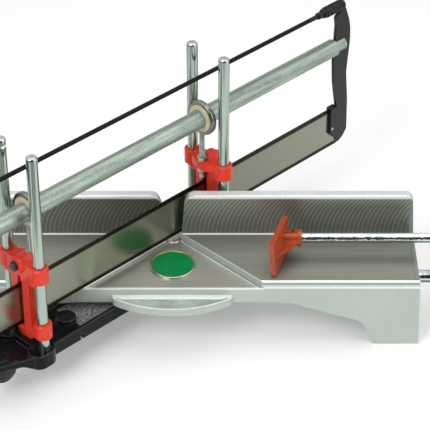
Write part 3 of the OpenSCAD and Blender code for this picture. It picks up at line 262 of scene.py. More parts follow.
def mixed(tree, mask, low, high):
    """Number or colour that goes from low to high with the mask."""
    if isinstance(low, tuple) or isinstance(high, tuple) or (
            isinstance(low, bpy.types.NodeSocket) and low.type == "RGBA"):
        full = [v + (1.0,) if isinstance(v, tuple) and len(v) == 3 else v for v in (low, high)]
        return add(tree, "Mix", {0: mask, 6: full[0], 7: full[1]}, data_type="RGBA").outputs[2]
    return add(tree, "Mix", {0: mask, 2: low, 3: high}, data_type="FLOAT").outputs[0]


def spread(tree, value, low, high, to_low=0.0, to_high=1.0):
    """Value from low to high carried smoothly to another range."""
    values = {"Value": value, "From Min": low, "From Max": high,
              "To Min": to_low, "To Max": to_high}
    return add(tree, "MapRange", values, interpolation_type="SMOOTHSTEP").outputs[0]


def band(tree, value, low, high):
    """1 where the value lies between low and high, else 0."""
    return maths(tree, "COMPARE", value, (low + high) / 2, abs(high - low) / 2)


def wave(tree, value, period):
    """Ripple from 0 to 1 that repeats each period of the value."""
    turned = maths(tree, "SINE", maths(tree, "MULTIPLY", value, 2 * math.pi / period))
    return maths(tree, "MULTIPLY_ADD", turned, 0.5, 0.5)


def both(tree, first, *others):
    """Product of masks, or of a mask and a share."""
    for other in others:
        first = maths(tree, "MULTIPLY", first, other)
    return first


def at_level(tree, value, level):
    """1 on a flat face that lies at a level of the value."""
    return band(tree, value, level - NEAR, level + NEAR)


def within(tree, value, half):
    """1 up to a distance from the middle, to both sides."""
    return band(tree, value, -half, half)


def beyond(tree, value, half):
    """1 past a distance from the middle, to both sides."""
    return maths(tree, "GREATER_THAN", maths(tree, "ABSOLUTE", value), half)


def distance(tree, x, y, centre):
    """Distance in plan from a centre."""
    dx, dy = maths(tree, "SUBTRACT", x, centre[0]), maths(tree, "SUBTRACT", y, centre[1])
    total = maths(tree, "ADD", maths(tree, "MULTIPLY", dx, dx), maths(tree, "MULTIPLY", dy, dy))
    return maths(tree, "SQRT", total)


def new_group(name, inputs, outputs):
    """Empty shader node group with named sockets, given as name to (kind, default)."""
    group = bpy.data.node_groups.new(name, "ShaderNodeTree")
    for socket, (kind, default) in inputs.items():
        made = group.interface.new_socket(socket, in_out="INPUT", socket_type="NodeSocket" + kind)
        if default is not None:
            made.default_value = default
    for socket, kind in outputs.items():
        group.interface.new_socket(socket, in_out="OUTPUT", socket_type="NodeSocket" + kind)
    start = group.nodes.new("NodeGroupInput")
    end = group.nodes.new("NodeGroupOutput")
    return group, start.outputs, end.inputs


def blotch_group():
    """Soft cloudy mask: two sizes of noise, the fine one at a third of the strength."""
    group, given, out = new_group(
        "cloudy_blotches", {"Position": ("Vector", None), "Scale": ("Float", 60.0)},
        {"Mask": "Float"})
    wide = add(group, "TexNoise", {"Vector": given["Position"], "Scale": given["Scale"],
                                   "Detail": 3.0})
    finer = maths(group, "MULTIPLY", given["Scale"], 5.3)
    fine = add(group, "TexNoise", {"Vector": given["Position"], "Scale": finer, "Detail": 4.0})
    total = maths(group, "MULTIPLY_ADD", fine.outputs[0], 0.33, wide.outputs[0])
    group.links.new(spread(group, total, 0.45, 0.9), out["Mask"])
    return group


def grain_group():
    """Fine even grain of a moulded or cast skin, as a height."""
    group, given, out = new_group(
        "skin_grain", {"Position": ("Vector", None), "Scale": ("Float", 900.0)},
        {"Height": "Float"})
    noise = add(group, "TexNoise", {"Vector": given["Position"], "Scale": given["Scale"],
                                    "Detail": 2.0})
    group.links.new(noise.outputs[0], out["Height"])
    return group


def brushed_group():
    """Fine lines along one axis: noise on a position that is squeezed along that axis."""
    group, given, out = new_group(
        "brushed_lines", {"Position": ("Vector", None), "Stretch": ("Vector", None)},
        {"Mask": "Float"})
    pulled = add(group, "VectorMath", {0: given["Position"], 1: given["Stretch"]},
                 operation="MULTIPLY")
    noise = add(group, "TexNoise", {"Vector": pulled.outputs[0], "Scale": 1.0, "Detail": 3.0})
    group.links.new(spread(group, noise.outputs[0], 0.3, 0.7), out["Mask"])
    return group


def edge_group():
    """Rounded normal at crisp edges, and a mask of how far it turns from the flat normal."""
    group, given, out = new_group(
        "soft_edges", {"Radius": ("Float", 0.0004)}, {"Normal": "Vector", "Mask": "Float"})
    bevel = add(group, "Bevel", {"Radius": given["Radius"]}, samples=6)
    flat = add(group, "NewGeometry")
    turned = add(group, "VectorMath", {0: bevel.outputs[0], 1: flat.outputs["Normal"]},
                 operation="DOT_PRODUCT")
    group.links.new(bevel.outputs[0], out["Normal"])
    group.links.new(spread(group, turned.outputs["Value"], 0.995, 0.85), out["Mask"])
    return group


GROUP_BUILDERS = {"cloudy_blotches": blotch_group, "skin_grain": grain_group,
                  "brushed_lines": brushed_group, "soft_edges": edge_group}


def grouped(tree, name, values):
    """Outputs of the named group, placed in a tree; it is built at its first use."""
    group = bpy.data.node_groups.get(name) or GROUP_BUILDERS[name]()
    return add(tree, "Group", values, node_tree=group).outputs


class Finish:
    """A material in the making: its colour, roughness, metal and height are laid in layers."""

    def __init__(self, slot, colour, rough, metal=0.0, radius=None):
        material = bpy.data.materials.new("slot_" + slot)
        material.use_nodes = True
        self.tree = material.node_tree
        self.tree.nodes.clear()
        self.shader = add(self.tree, "BsdfPrincipled")
        add(self.tree, "OutputMaterial", {"Surface": self.shader.outputs[0]})
        where = add(self.tree, "TexCoord")
        self.at = where.outputs["Object"]
        self.facing = add(self.tree, "SeparateXYZ", {0: where.outputs["Normal"]}).outputs
        self.xyz = add(self.tree, "SeparateXYZ", {0: self.at}).outputs
        self.colour, self.rough, self.metal, self.heights = tuple(colour), rough, metal, []
        if radius is None:
            radius = bpy.context.scene.mitre_finishes.edge_radius
        self.edge = grouped(self.tree, "soft_edges", {"Radius": radius})

    def layer(self, mask, colour=None, rough=None, metal=None):
        """Lays a colour, roughness and metal over what is there, where the mask is 1."""
        if colour is not None:
            colour = colour if isinstance(colour, bpy.types.NodeSocket) else tuple(colour)
            self.colour = mixed(self.tree, mask, self.colour, colour)
        if rough is not None:
            self.rough = mixed(self.tree, mask, self.rough, rough)
        if metal is not None:
            self.metal = mixed(self.tree, mask, self.metal, metal)

    def two_tone(self, mask, colour, low, high):
        """One colour in two strengths, from low to high with the mask."""
        return mixed(self.tree, mask, shade(colour, low), shade(colour, high))

    def raise_by(self, height, metres):
        """Lifts the skin by up to so much where the height is 1."""
        self.heights.append((height, metres))

    def blotches(self, scale):
        given = {"Position": self.at, "Scale": scale}
        return grouped(self.tree, "cloudy_blotches", given)["Mask"]

    def brushed(self, position, stretch):
        given = {"Position": position, "Stretch": stretch}
        return grouped(self.tree, "brushed_lines", given)["Mask"]

    def grain(self, scale, metres):
        given = {"Position": self.at, "Scale": scale}
        self.raise_by(grouped(self.tree, "skin_grain", given)["Height"], metres)

    def saw_axes(self):
        """Object position turned so that X runs along the saw at rest, from the pivot."""
        moved = add(self.tree, "VectorMath", {0: self.at, 1: (*PIVOT, 0.0)}, operation="SUBTRACT")
        turned = add(self.tree, "VectorRotate", {"Vector": moved.outputs[0], "Angle": -SAW_TURN},
                     rotation_type="Z_AXIS")
        return turned.outputs[0]

    def done(self, **constants):
        """Joins the layers to the shader; what stays the same all over is set on its sockets."""
        rgb = self.colour + (1.0,) if isinstance(self.colour, tuple) else self.colour
        feed(self.tree, self.shader, {"Base Color": rgb, "Roughness": self.rough,
                                      "Metallic": self.metal, **constants})
        normal = self.edge["Normal"]
        for height, metres in self.heights:
            normal = add(self.tree, "Bump", {"Height": height, "Distance": metres,
                                             "Strength": 1.0, "Normal": normal}).outputs[0]
        self.tree.links.new(normal, self.shader.inputs["Normal"])


def shade(colour, factor):
    """Colour made darker or lighter by a factor."""
    return tuple(min(1.0, c * factor) for c in colour)


def plain_finish(slot, colour, rough, metal=0.0, grain=(900.0, 0.00001), depth=0.08, edge=1.25,
                 **constants):
    """Everyday finish: cloudy colour and roughness, a fine grain, and edges lightened by the factor
    edge as a painted highlight.
    """
    made = Finish(slot, shade(colour, 1 - depth), rough - 0.03, metal)
    made.layer(made.blotches(60.0), shade(colour, 1 + depth), rough + 0.05)
    # Painted highlight: crisp edges lightened by the factor edge
    made.layer(both(made.tree, made.edge["Mask"], 0.5), shade(colour, edge))
    made.grain(*grain)
    made.done(**constants)


# Finishes of the object's own pieces

def facing_up(made):
    """1 on faces that look straight up."""
    return spread(made.tree, made.facing[2], 0.9, 0.97)


def before_fence(made):
    """1 on the table's side of the fence face."""
    return spread(made.tree, made.xyz[1], FENCE_Y + 0.0012, FENCE_Y + 0.0006)


def table_mask(made):
    """1 on the milled table, between the painted strips at its ends."""
    tree, (x, _, z) = made.tree, made.xyz
    return both(tree, facing_up(made), at_level(tree, z, TABLE_Z), before_fence(made),
                within(tree, x, BED_END - TABLE_STRIP))


def milling_ribs(made):
    """Marks of a face mill on the fence: arcs of one radius, a feed step apart along the fence,
    crossed by the mill's way back and by level lines, and fading towards the table."""
    tree, (x, _, z) = made.tree, made.xyz
    rise = maths(tree, "SUBTRACT", z, TABLE_Z)
    sag = maths(tree, "SQRT", maths(tree, "SUBTRACT", MILL_RADIUS ** 2,
                                    maths(tree, "MULTIPLY", rise, rise)))
    return both(tree, wave(tree, maths(tree, "ADD", x, sag), MILL_FEED),
                maths(tree, "MULTIPLY_ADD", wave(tree, maths(tree, "SUBTRACT", x, sag),
                                                 MILL_RETURN), 0.5, 0.5),
                maths(tree, "MULTIPLY_ADD", wave(tree, z, MILL_LEVEL), 0.4, 0.6),
                spread(tree, z, TABLE_Z, FENCE_TOP - 0.012, 0.5, 1.0))


def paint_bed_highlights(made, look):
    """Painted shade on the end strips, painted highlights as bright lines along table and fence,
    and the pocket's slopes in painted shade with painted highlights along their edges.
    """
    tree, (x, y, z) = made.tree, made.xyz
    # Painted shade: the paint on the end strips of table and fence laid at half its tone
    ends = both(tree, beyond(tree, x, BED_END - FENCE_STRIP),
                band(tree, z, TABLE_Z - NEAR, FENCE_TOP - 0.003),
                band(tree, y, FRONT_Y + TABLE_ROUND, BEHIND_FENCE))
    made.layer(ends, shade(look.bed_paint, 0.5))
    # Painted highlights: bright lines on the table's rounded front edge, the fence top, the fence
    # foot and under the front edge
    front = both(tree, band(tree, z, TABLE_Z - 0.0035, TABLE_Z + 0.0005),
                 band(tree, y, OUT_FRONT, FRONT_Y + TABLE_ROUND))
    crest = both(tree, spread(tree, z, FENCE_TOP - 0.0034, FENCE_TOP - 0.0024),
                 band(tree, y, FENCE_Y - 0.001, FENCE_Y + 0.012))
    foot_highlight = both(tree, table_mask(made), spread(tree, y, FENCE_Y - 0.0022, FENCE_Y - 0.0014))
    under_front_highlight = both(tree, band(tree, z, TABLE_Z - 0.0066, TABLE_Z - 0.0044),
                       band(tree, y, OUT_FRONT, FRONT_Y + 0.001), beyond(tree, x, POCKET_END))
    for mask, level in ((front, 1.0), (crest, 0.86), (foot_highlight, 1.0), (under_front_highlight, 1.0)):
        made.layer(mask, shade(look.painted_highlight_white, level), 0.3, 0.2)
    # The pocket's slopes: the paint in painted shade, darkest at their foot, with painted
    # highlights along their upper and lower edges
    slope = both(tree, band(tree, made.facing[2], 0.35, 0.93),
                 band(tree, z, POCKET_Z, TABLE_Z + OVER), before_fence(made))
    upper = spread(tree, z, POCKET_Z + 0.0014, POCKET_Z + 0.0022)
    made.layer(slope, made.two_tone(upper, look.bed_paint, 0.45, 0.9), 0.3, 0.3)
    for low, high in ((-0.0001, 0.0009), (0.0059, 0.0070)):
        made.layer(both(tree, slope, band(tree, z, POCKET_Z + low, POCKET_Z + high)),
                   look.painted_highlight_white, 0.2, 0.45)


def paint_lip_shade_and_highlights(made, look):
    """Painted highlight on the pocket's front edge, and the lip: a narrow crest and rear ridge in
    painted highlights round a recess in painted shade.
    """
    tree, (x, y, z) = made.tree, made.xyz
    # Painted shade: the lip's recess floor in a darker, cloudy tone of the paint, made more
    # metallic
    lip = both(tree, facing_up(made), band(tree, z, LIP_TOP - 0.003, LIP_TOP + OVER),
               band(tree, y, OUT_FRONT, FRONT_Y + 0.001))
    made.layer(lip, made.two_tone(made.blotches(60.0), look.bed_paint, 0.72, 1.05), 0.3, 0.4)
    outer = spread(tree, distance(tree, x, y, PIVOT), LIP_CREST_RADIUS, LIP_CREST_RADIUS + 0.0005)
    inner = spread(tree, y, LIP_CREST_Y - 0.0004, LIP_CREST_Y)
    crest = both(tree, lip, band(tree, z, LIP_TOP - NEAR, LIP_TOP + OVER),
                 maths(tree, "MAXIMUM", outer, inner))
    brim_highlight = both(tree, band(tree, z, POCKET_Z - 0.0011, POCKET_Z + OVER),
                band(tree, y, OUT_FRONT, FRONT_Y + 0.0016), within(tree, x, POCKET_END))
    ridge = both(tree, band(tree, z, LIP_TOP - 0.0022, LIP_TOP + OVER),
                 band(tree, y, FRONT_Y - 0.0043, FRONT_Y - 0.0003), within(tree, x, LIP_END))
    # Painted highlights on the pocket's front brim, the lip's crest and its rear ridge
    for mask in (brim_highlight, crest, ridge):
        made.layer(mask, look.painted_highlight_white, 0.3, 0.2)


def bed_finish(slot, look):
    """Satin painted casting with a milled table and a ribbed fence face, painted highlights along
    its edges and lines, and painted shade on its end strips, pocket slopes and lip recess.
    """
    made = Finish(slot, shade(look.bed_paint, 0.96), 0.42, 0.15, radius=0.0007)
    tree, (x, y, z) = made.tree, made.xyz
    made.layer(made.blotches(25.0), shade(look.bed_paint, 1.03), 0.5)
    table, ribs = table_mask(made), milling_ribs(made)
    face = both(tree, spread(tree, made.facing[1], -0.9, -0.97),
                band(tree, z, TABLE_Z + 0.0008, FENCE_TOP - 0.002),
                band(tree, y, FENCE_Y - 0.0006, FENCE_Y + 0.0006),
                within(tree, x, BED_END - FENCE_STRIP))
    pocket = both(tree, facing_up(made), at_level(tree, z, POCKET_Z), before_fence(made))
    table_lines = made.brushed(made.at, (12.0, 1500.0, 10.0))
    fence_lines = made.brushed(made.at, (2600.0, 10.0, 60.0))
    pocket_lines = made.brushed(made.at, (25.0, 700.0, 10.0))
    made.layer(table, made.two_tone(table_lines, look.milled_metal, 0.9, 1.12), 0.58, 0.85)
    made.layer(face, made.two_tone(ribs, look.milled_metal, 0.7, 2.1), 0.38, 0.8)
    made.layer(both(tree, face, fence_lines, 0.4), shade(look.milled_metal, 0.7))
    made.layer(pocket, made.two_tone(pocket_lines, look.milled_metal, 1.5, 1.7), 0.34, 0.7)
    paint_bed_highlights(made, look)
    paint_lip_shade_and_highlights(made, look)
    # Crisp edges lightened towards near white: partly worn bare metal, partly painted highlight
    made.layer(both(tree, made.edge["Mask"], 0.6), look.painted_highlight_white, 0.25)
    made.grain(700.0, 0.000012)
    made.raise_by(both(tree, face, ribs), 0.00006)
    made.raise_by(both(tree, table, table_lines), 0.000015)
    made.done()


def plate_finish(slot, look):
    """Enamelled plate, left bare: green inside a thin gold ring and a bright raised rim."""
    made = Finish(slot, shade(look.plate_green, 0.92), 0.3)
    tree = made.tree
    radius = distance(tree, made.xyz[0], made.xyz[1], PLATE_AT)
    made.layer(made.blotches(90.0), shade(look.plate_green, 1.1), 0.28)
    made.layer(band(tree, radius, PLATE_RADIUS - 0.0008, PLATE_RADIUS - 0.0002),
               look.plate_gold, 0.3, 0.9)
    made.layer(spread(tree, radius, PLATE_RADIUS - 0.0003, PLATE_RADIUS),
               shade(look.milled_metal, 1.5), 0.25, 0.9)
    made.grain(1500.0, 0.000004)
    made.done(**{"Specular IOR Level": 0.15})


def arm_finish(slot, look):
    """Glossy black paint with painted highlights as grey lines along its crisp edges, and a rough
    unpainted pocket floor over the index tooth.
    """
    made = Finish(slot, look.arm_black, 0.16, radius=0.0022)
    tree = made.tree
    along, across, height = add(tree, "SeparateXYZ", {0: made.saw_axes()}).outputs
    made.layer(made.blotches(70.0), shade(look.arm_black, 1.5), 0.26)
    floor = both(tree, band(tree, along, *ARM_FLOOR_ALONG), band(tree, across, *ARM_FLOOR_ACROSS),
                 band(tree, height, *ARM_FLOOR_HEIGHT), facing_up(made))
    speckle = made.blotches(420.0)
    made.layer(floor, made.two_tone(speckle, look.arm_rough, 0.4, 1.5), 0.6)
    # Painted highlight: crisp edges lined in a grey of the pocket floor's colour
    made.layer(both(tree, made.edge["Mask"], 0.15), shade(look.arm_rough, 0.7))
    made.raise_by(both(tree, floor, speckle), 0.0004)
    made.grain(200.0, 0.00005)
    glint = both(tree, made.edge["Mask"], 0.9)
    made.done(**{"Specular IOR Level": 0.14, "Coat Weight": glint, "Coat Roughness": 0.12})


def tube_finish(slot, look):
    """Galvanised tube: pale spangle with long dull streaks along the saw."""
    made = Finish(slot, look.tube_pale, 0.36, 0.8)
    tree, saw = made.tree, made.saw_axes()
    streaks = made.brushed(saw, (18.0, 260.0, 260.0))
    made.layer(streaks, look.tube_dark, 0.46)
    made.layer(both(tree, made.brushed(saw, (30.0, 90.0, 90.0)), made.blotches(35.0), streaks),
               shade(look.tube_dark, 0.8), 0.5)
    cells = add(tree, "TexVoronoi", {"Vector": made.at, "Scale": 420.0})
    made.layer(both(tree, spread(tree, cells.outputs["Distance"], 0.2, 0.6), 0.25),
               shade(look.tube_pale, 1.25))
    made.grain(800.0, 0.00001)
    made.done()


def blade_finish(slot, look):
    """Ground blade face with hardened dark bands and a brown heat tint beside them."""
    made = Finish(slot, shade(look.blade_face, 0.95), 0.2, 0.95, radius=0.0001)
    tree, height = made.tree, made.xyz[2]
    lines = made.brushed(made.saw_axes(), (6.0, 50.0, 2200.0))
    made.layer(lines, shade(look.blade_face, 1.05), 0.26)
    for edge, inward in ((BLADE_HIGH, -1), (BLADE_LOW, 1)):
        made.layer(band(tree, height, edge, edge + inward * TINT_WIDTH), look.blade_brown, 0.3)
        made.layer(band(tree, height, edge, edge + inward * BAND_WIDTH), look.blade_band, 0.34)
    made.raise_by(lines, 0.000004)
    made.done()


def turned_steel(slot, colour, rough, ripple=0.0, underside_shade=None):
    """Plated or polished steel with fine turning marks; ends that face up are paler and duller.

    Slow ripples of a height, and an underside painted darker to a share of the colour as painted
    shade, are optional."""
    made = Finish(slot, shade(colour, 0.97), rough, 0.95)
    tree, facing = made.tree, made.facing[2]
    if ripple:
        made.grain(240.0, ripple)
    marks = made.brushed(made.at, (300.0, 300.0, 3000.0))
    made.layer(marks, shade(colour, 1.03), rough + 0.04)
    made.layer(both(tree, made.blotches(45.0), 0.35), shade(colour, 0.86), rough + 0.1)
    made.layer(spread(tree, facing, 0.8, 0.95), shade(colour, 1.1), 0.5)
    # Painted shade: the downward-facing side darkened to a share of the colour
    if underside_shade is not None:
        made.layer(spread(tree, facing, -0.15, 0.05, 1.0, 0.0), shade(colour, underside_shade), 0.3)
    made.raise_by(marks, 0.000003)
    made.done()


def build_finishes():
    """One material for each of the record's slots and for each finish of OWN_FINISH."""
    look = bpy.context.scene.mitre_finishes
    bed_finish("painted_casting", look)
    plate_finish("green_plate", look)
    arm_finish("black_casting", look)
    tube_finish("galvanised_tube", look)
    blade_finish("blade_steel", look)
    for slot, colour, rough in (("zinc_steel", look.zinc, 0.3),
                                ("washer_steel", shade(look.zinc, 0.9), 0.34),
                                ("lever_steel", shade(look.zinc, 0.8), 0.36),
                                ("bright_steel", look.column_steel, 0.14),
                                ("ring_steel", look.ring_steel, 0.22),
                                ("spring_steel", look.chrome, 0.2)):
        turned_steel(slot, colour, rough)
    turned_steel("stop_steel", look.chrome, 0.05, ripple=0.0007, underside_shade=0.35)
    plain_finish("dark_screws", look.black_oxide, 0.35, 0.6)
    plain_finish("rod_black", shade(look.black_oxide, 0.6), 0.5, grain=(700.0, 0.00002),
                 edge=1.2, **{"Specular IOR Level": 0.1})
    plain_finish("black_paint", look.lever_paint, 0.36, 0.1, grain=(420.0, 0.00003),
                 depth=0.15, edge=1.9, **{"Specular IOR Level": 0.35})
    plain_finish("grey_casting", look.cross_grey, 0.4, grain=(500.0, 0.00004))
    plain_finish("black_plastic", look.plastic_black, 0.36, grain=(1300.0, 0.00003), edge=1.8)
    plain_finish("red_plastic", look.plastic_red, 0.3, grain=(500.0, 0.00002), depth=0.05,
                 edge=1.15, **{"Specular IOR Level": 0.3})
    plain_finish("orange_plastic", look.plastic_orange, 0.2, grain=(500.0, 0.00003),
                 depth=0.1, edge=1.8)
    plain_finish("bush_plastic", look.ivory, 0.4, depth=0.04)


def finish_of(slot):
    """Material of a slot; all are built at the first call."""
    name = "slot_" + slot
    if name not in bpy.data.materials:
        build_finishes()
    return bpy.data.materials[name]


# Nodes that look different from the rest of their slot
OWN_FINISH = {"front_eye_ring": "ring_steel", "rear_eye_ring": "ring_steel",
              "stop_rod": "stop_steel", "stop_guide_rod": "stop_steel",
              "tension_rod": "rod_black"}


def dress_bodies(*bodies):
    """Gives every CAD node of the bodies the finish of its slot."""
    for part in frame["record"]["subparts"]:
        node = frame["nodes"][part["node"]]
        if node["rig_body"] in bodies:
            node.data.materials.clear()
            slot = OWN_FINISH.get(part["node"], part["material_slot"])
            node.data.materials.append(finish_of(slot))


# Pieces worked out with numpy

def skin(name, rows, slot):
    """Closed mesh through rings of points, rows[ring, point, xyz], with a point at each end."""
    rings, points, _ = rows.shape
    verts = np.concatenate([rows.reshape(-1, 3), rows[0].mean(0)[None], rows[-1].mean(0)[None]])
    ring, point = np.meshgrid(np.arange(rings - 1), np.arange(points), indexing="ij")
    here, beside = ring * points + point, ring * points + (point + 1) % points
    quads = np.stack([here, beside, beside + points, here + points], -1).reshape(-1, 4)
    start, end = rings * points, rings * points + 1
    around, ahead = np.arange(points), (np.arange(points) + 1) % points
    last = (rings - 1) * points
    caps = [np.stack([ahead, around, np.full(points, start)], -1),
            np.stack([last + around, last + ahead, np.full(points, end)], -1)]
    mesh = bpy.data.meshes.new(name)
    mesh.from_pydata(verts.tolist(), [], quads.tolist() + np.concatenate(caps).tolist())
    mesh.polygons.foreach_set("use_smooth", np.ones(len(mesh.polygons), bool))
    mesh.materials.append(finish_of(slot))
    mesh.update()
    piece = bpy.data.objects.new(name, mesh)
    bpy.context.scene.collection.objects.link(piece)
    return piece


def axes_about(axis):
    """Two directions at right angles to the axis and to each other."""
    side = np.cross(axis, UP) if abs(axis[2]) < 0.9 else np.array([1.0, 0.0, 0.0])
    side = side / np.linalg.norm(side)
    return side, np.cross(axis, side)


def coil_rows(start, axis, length, radius, wire, turns):
    """Helix of that radius whose end turns climb at a quarter of the even rate.

    The wire's round section lies in the plane of the axis and the helix's radius."""
    t = np.linspace(0, 1, int(turns * RINGS_PER_TURN))
    closed = 0.6 / turns
    climb = np.interp(t, [0, closed, 1 - closed, 1], [0, closed * 0.25, 1 - closed * 0.25, 1])
    side, other = axes_about(axis)
    angle = 2 * math.pi * turns * t
    out = np.cos(angle)[:, None] * side + np.sin(angle)[:, None] * other
    path = start + out * radius + (wire + climb * (length - 2 * wire))[:, None] * axis
    turn = np.linspace(0, 2 * math.pi, WIRE_POINTS, endpoint=False)
    return path[:, None] + wire * (np.cos(turn)[None, :, None] * out[:, None]
                                   + np.sin(turn)[None, :, None] * axis)


def thread_rows(start, axis, length, radius, pitch, depth):
    """Rod whose radius rises and falls once per pitch and turns once per pitch: a screw thread."""
    along = np.linspace(0, length, int(length / pitch * RINGS_PER_PITCH) + 1)[:, None]
    angle = np.linspace(0, 2 * math.pi, THREAD_POINTS, endpoint=False)[None]
    phase = (along / pitch - angle / (2 * math.pi)) % 1
    ridge = np.clip(1.5 * (1 - np.abs(2 * phase - 1)) - 0.15, 0, 1)
    fade = np.clip(np.minimum(along, length - along) / pitch, 0, 1)
    r = radius - depth * 0.4 + depth * 1.4 * ridge * fade
    side, other = axes_about(axis)
    return (start + along[..., None] * axis
            + (r * np.cos(angle))[..., None] * side + (r * np.sin(angle))[..., None] * other)


def body_of(node):
    """Body that a CAD node rides on."""
    return frame["nodes"][node]["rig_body"]


def box_middle(node):
    """Middle of a CAD node's box."""
    low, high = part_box(node)
    return np.array((low + high) / 2)


# Operators

class MITRE_OT_bed(bpy.types.Operator):
    """Finishes of the bed, its round plate and the pivot"""

    bl_idname = "mitre.bed"
    bl_label = "Dress the bed"

    def execute(self, context):
        dress_bodies("bed")
        return {"FINISHED"}


class MITRE_OT_arm(bpy.types.Operator):
    """Finishes of the swing arm, the columns and the index lever"""

    bl_idname = "mitre.arm"
    bl_label = "Dress the swing arm"

    def execute(self, context):
        dress_bodies("arm", "index_lever")
        return {"FINISHED"}


class MITRE_OT_carriages(bpy.types.Operator):
    """Finishes of both carriages with their eye rings, buttons and catches"""

    bl_idname = "mitre.carriages"
    bl_label = "Dress the carriages"

    def execute(self, context):
        dress_bodies("front_carriage", "rear_carriage", "front_button", "rear_button",
                     "front_catch", "rear_catch")
        return {"FINISHED"}


class MITRE_OT_saw(bpy.types.Operator):
    """Finishes of the framed saw and its tension nut"""

    bl_idname = "mitre.saw"
    bl_label = "Dress the saw"

    def execute(self, context):
        dress_bodies("saw", "tension_nut")
        return {"FINISHED"}


class MITRE_OT_stop(bpy.types.Operator):
    """Finishes of the length stop and its clamp screw"""

    bl_idname = "mitre.stop"
    bl_label = "Dress the length stop"

    def execute(self, context):
        dress_bodies("stop", "clamp_screw")
        return {"FINISHED"}


class MITRE_OT_springs(bpy.types.Operator):
    """Round wire springs in place of the plain ones; each rides on the body of the spring it
    replaces
    """

    bl_idname = "mitre.springs"
    bl_label = "Wind the springs"

    def execute(self, context):
        size = context.scene.mitre_details
        low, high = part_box("index_spring")
        middle = box_middle("index_spring")
        start = np.array([middle[0], middle[1], low[2]])
        piece = skin("index_spring_wire", coil_rows(start, UP, high[2] - low[2], size.index_coil,
                     size.wire, 3), "spring_steel")
        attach(piece, body_of("index_spring"))
        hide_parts("index_spring")
        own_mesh(piece)
        for end, way in (("front", 1), ("rear", -1)):
            node = end + "_button_spring"
            axis, length = way * ALONG, BUTTON_SPRING_LENGTH
            start = box_middle(node) - axis * length / 2
            piece = skin(node + "_wire", coil_rows(start, axis, length, size.button_coil,
                         size.wire, 2), "spring_steel")
            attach(piece, body_of(node))
            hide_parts(node)
            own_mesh(piece)
        return {"FINISHED"}


class MITRE_OT_threads(bpy.types.Operator):
    """Screw threads on the eye rings' studs, the tension rod and the pivot bolt"""

    bl_idname = "mitre.threads"
    bl_label = "Cut the threads"

    def execute(self, context):
        size = context.scene.mitre_details
        for end in ("front", "rear"):
            ring = end + "_eye_ring"
            low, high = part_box(ring)
            middle = box_middle(ring)
            length = 2 * box_middle("saw_tube")[2] - high[2] - low[2]
            rows = thread_rows(np.array([middle[0], middle[1], low[2] + THREAD_INSET]), UP, length,
                               size.stud_radius, size.stud_pitch, size.stud_thread_depth)
            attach(skin(end + "_stud_thread", rows, "bright_steel"), body_of(ring))
        rod_height = box_middle("tension_nut")[2]
        for name, (start, length) in ROD_THREADS.items():
            rows = thread_rows(saw_point(start, 0, rod_height), ALONG, length,
                               size.rod_radius, size.rod_pitch, size.thread_depth)
            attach(skin(name, rows, "black_paint"), body_of("tension_rod"))
        low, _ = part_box("pivot_bolt")
        rows = thread_rows(np.array([*PIVOT, low[2] + THREAD_INSET]), UP, BOLT_THREAD_LENGTH,
                           size.bolt_radius, size.bolt_pitch, size.thread_depth)
        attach(skin("pivot_bolt_thread", rows, "zinc_steel"), body_of("pivot_bolt"))
        return {"FINISHED"}


def flat_mesh(name, low, high, material):
    """Level or upright rectangle between two opposite corners, as a piece of the stage."""
    (x0, y0, z0), (x1, y1, z1) = low, high
    mesh = bpy.data.meshes.new(name)
    mesh.from_pydata([low, (x1, y0, z0), high, (x0, y1, z1)], [], [(0, 1, 2, 3)])
    mesh.materials.append(material)
    made = bpy.data.objects.new(name, mesh)
    bpy.context.scene.collection.objects.link(made)
    return made


def stage_material(name, level):
    """Plain grey material of that level, with its node tree and its shader."""
    made = bpy.data.materials.new(name)
    made.use_nodes = True
    shader = made.node_tree.nodes["Principled BSDF"]
    shader.inputs["Base Color"].default_value = (level, level, level, 1)
    return made, made.node_tree, shader


def lamp(name, place, target, size, power):
    """Square soft lamp at a place, turned to a target."""
    data = bpy.data.lights.new(name, "AREA")
    data.size, data.energy = size, power
    made = bpy.data.objects.new(name, data)
    bpy.context.scene.collection.objects.link(made)
    made.location = place
    offset = [t - p for t, p in zip(target, place)]
    flat = math.hypot(offset[0], offset[1])
    made.rotation_euler = (math.pi / 2 + math.atan2(offset[2], flat), 0,
                           math.atan2(offset[1], offset[0]) - math.pi / 2)
    return made


def seen_white(tree):
    """1 for rays from the camera, from a mirror or through glass."""
    path = add(tree, "LightPath").outputs
    seen = maths(tree, "MAXIMUM", path["Is Camera Ray"], path["Is Glossy Ray"])
    return maths(tree, "MAXIMUM", seen, path["Is Transmission Ray"])


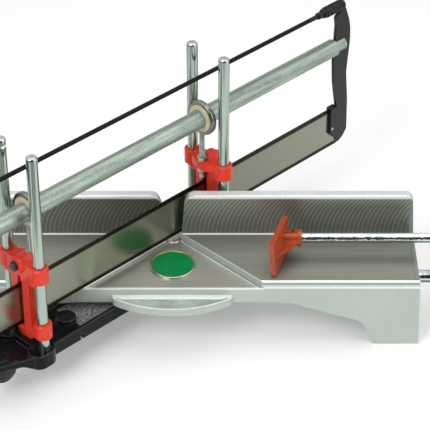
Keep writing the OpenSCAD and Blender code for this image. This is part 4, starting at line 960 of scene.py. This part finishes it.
class MITRE_OT_stage(bpy.types.Operator):
    """Pale floor, white surround, soft lamps, cards for the chrome to reflect, and the camera"""

    bl_idname = "mitre.stage"
    bl_label = "Set up the studio"

    def execute(self, context):
        scene, studio = context.scene, context.scene.mitre_studio
        pale, tree, shader = stage_material("pale_floor", FLOOR_LEVEL)
        feed(tree, shader, {"Roughness": 0.9, "Emission Color": (1, 1, 1, 1),
                            "Emission Strength": both(tree, seen_white(tree), FLOOR_GLOW)})
        half = studio.floor_size / 2
        flat_mesh("floor", (-half, -half, 0), (half, half, 0), pale)

        tones = {}
        for name, level in CARD_LEVELS.items():
            tones[name], _, shader = stage_material(name, level)
            shader.inputs["Specular IOR Level"].default_value = 0.0
        for name, (tone, low, high) in CARDS.items():
            card = flat_mesh(name, low, high, tones[tone])
            card.visible_camera = card.visible_diffuse = card.visible_shadow = False
            card.visible_transmission = card.visible_volume_scatter = False

        world = bpy.data.worlds.new("white_surround")
        world.use_nodes = True
        scene.world = world
        tree = world.node_tree
        background = tree.nodes["Background"]
        background.inputs["Color"].default_value = (1, 1, 1, 1)
        tree.links.new(mixed(tree, seen_white(tree), studio.sky_level, 1.0),
                       background.inputs["Strength"])

        lamp("key_lamp", (-0.9, -1.3, 1.5), (0, -0.05, 0.1), 0.9, studio.key_power)
        lamp("fill_lamp", (1.5, -0.9, 0.9), (0, -0.05, 0.1), 1.2, studio.fill_power)
        lamp("top_lamp", (0.1, 0.35, 1.9), (0, 0, 0.1), 2.2, studio.top_power)

        data = bpy.data.cameras.new("photo_camera")
        data.lens, data.sensor_width = studio.focal_length, SENSOR_WIDTH
        camera = bpy.data.objects.new("photo_camera", data)
        scene.collection.objects.link(camera)
        camera.location = CAMERA_AT
        camera.rotation_euler = (CAMERA_TILT, 0, 0)
        scene.camera = camera
        scene.view_settings.view_transform = "Standard"
        return {"FINISHED"}


class MITRE_PT_sidebar(bpy.types.Panel):
    """Lists the sizes, the colours and the steps"""

    bl_idname = "MITRE_PT_sidebar"
    bl_label = "Mitre saw"
    bl_space_type = "VIEW_3D"
    bl_region_type = "UI"
    bl_category = "Mitre saw"

    def draw(self, context):
        layout, scene = self.layout, context.scene
        for group in (scene.mitre_finishes, scene.mitre_details, scene.mitre_studio):
            column = layout.box().column(align=True)
            for key in group.__annotations__:
                column.prop(group, key)
        column = layout.column(align=True)
        for step in STEPS:
            column.operator(step.bl_idname)


STEPS = (MITRE_OT_stage, MITRE_OT_bed, MITRE_OT_arm, MITRE_OT_carriages, MITRE_OT_saw,
         MITRE_OT_stop, MITRE_OT_springs, MITRE_OT_threads)
GROUPS = {"mitre_finishes": MitreFinishes, "mitre_details": MitreDetails,
          "mitre_studio": MitreStudio}


def register():
    for made in (*GROUPS.values(), *STEPS, MITRE_PT_sidebar):
        bpy.utils.register_class(made)
    for name, group in GROUPS.items():
        setattr(bpy.types.Scene, name, bpy.props.PointerProperty(type=group))


def unregister():
    for name in GROUPS:
        delattr(bpy.types.Scene, name)
    for made in (MITRE_PT_sidebar, *reversed(STEPS), *reversed(GROUPS.values())):
        bpy.utils.unregister_class(made)


def main():
    register()
    bpy.ops.mitre.stage()
    bpy.ops.mitre.bed()
    bpy.ops.mitre.arm()
    bpy.ops.mitre.carriages()
    bpy.ops.mitre.saw()
    bpy.ops.mitre.stop()
    bpy.ops.mitre.springs()
    bpy.ops.mitre.threads()


if __name__ == "__main__":
    main()
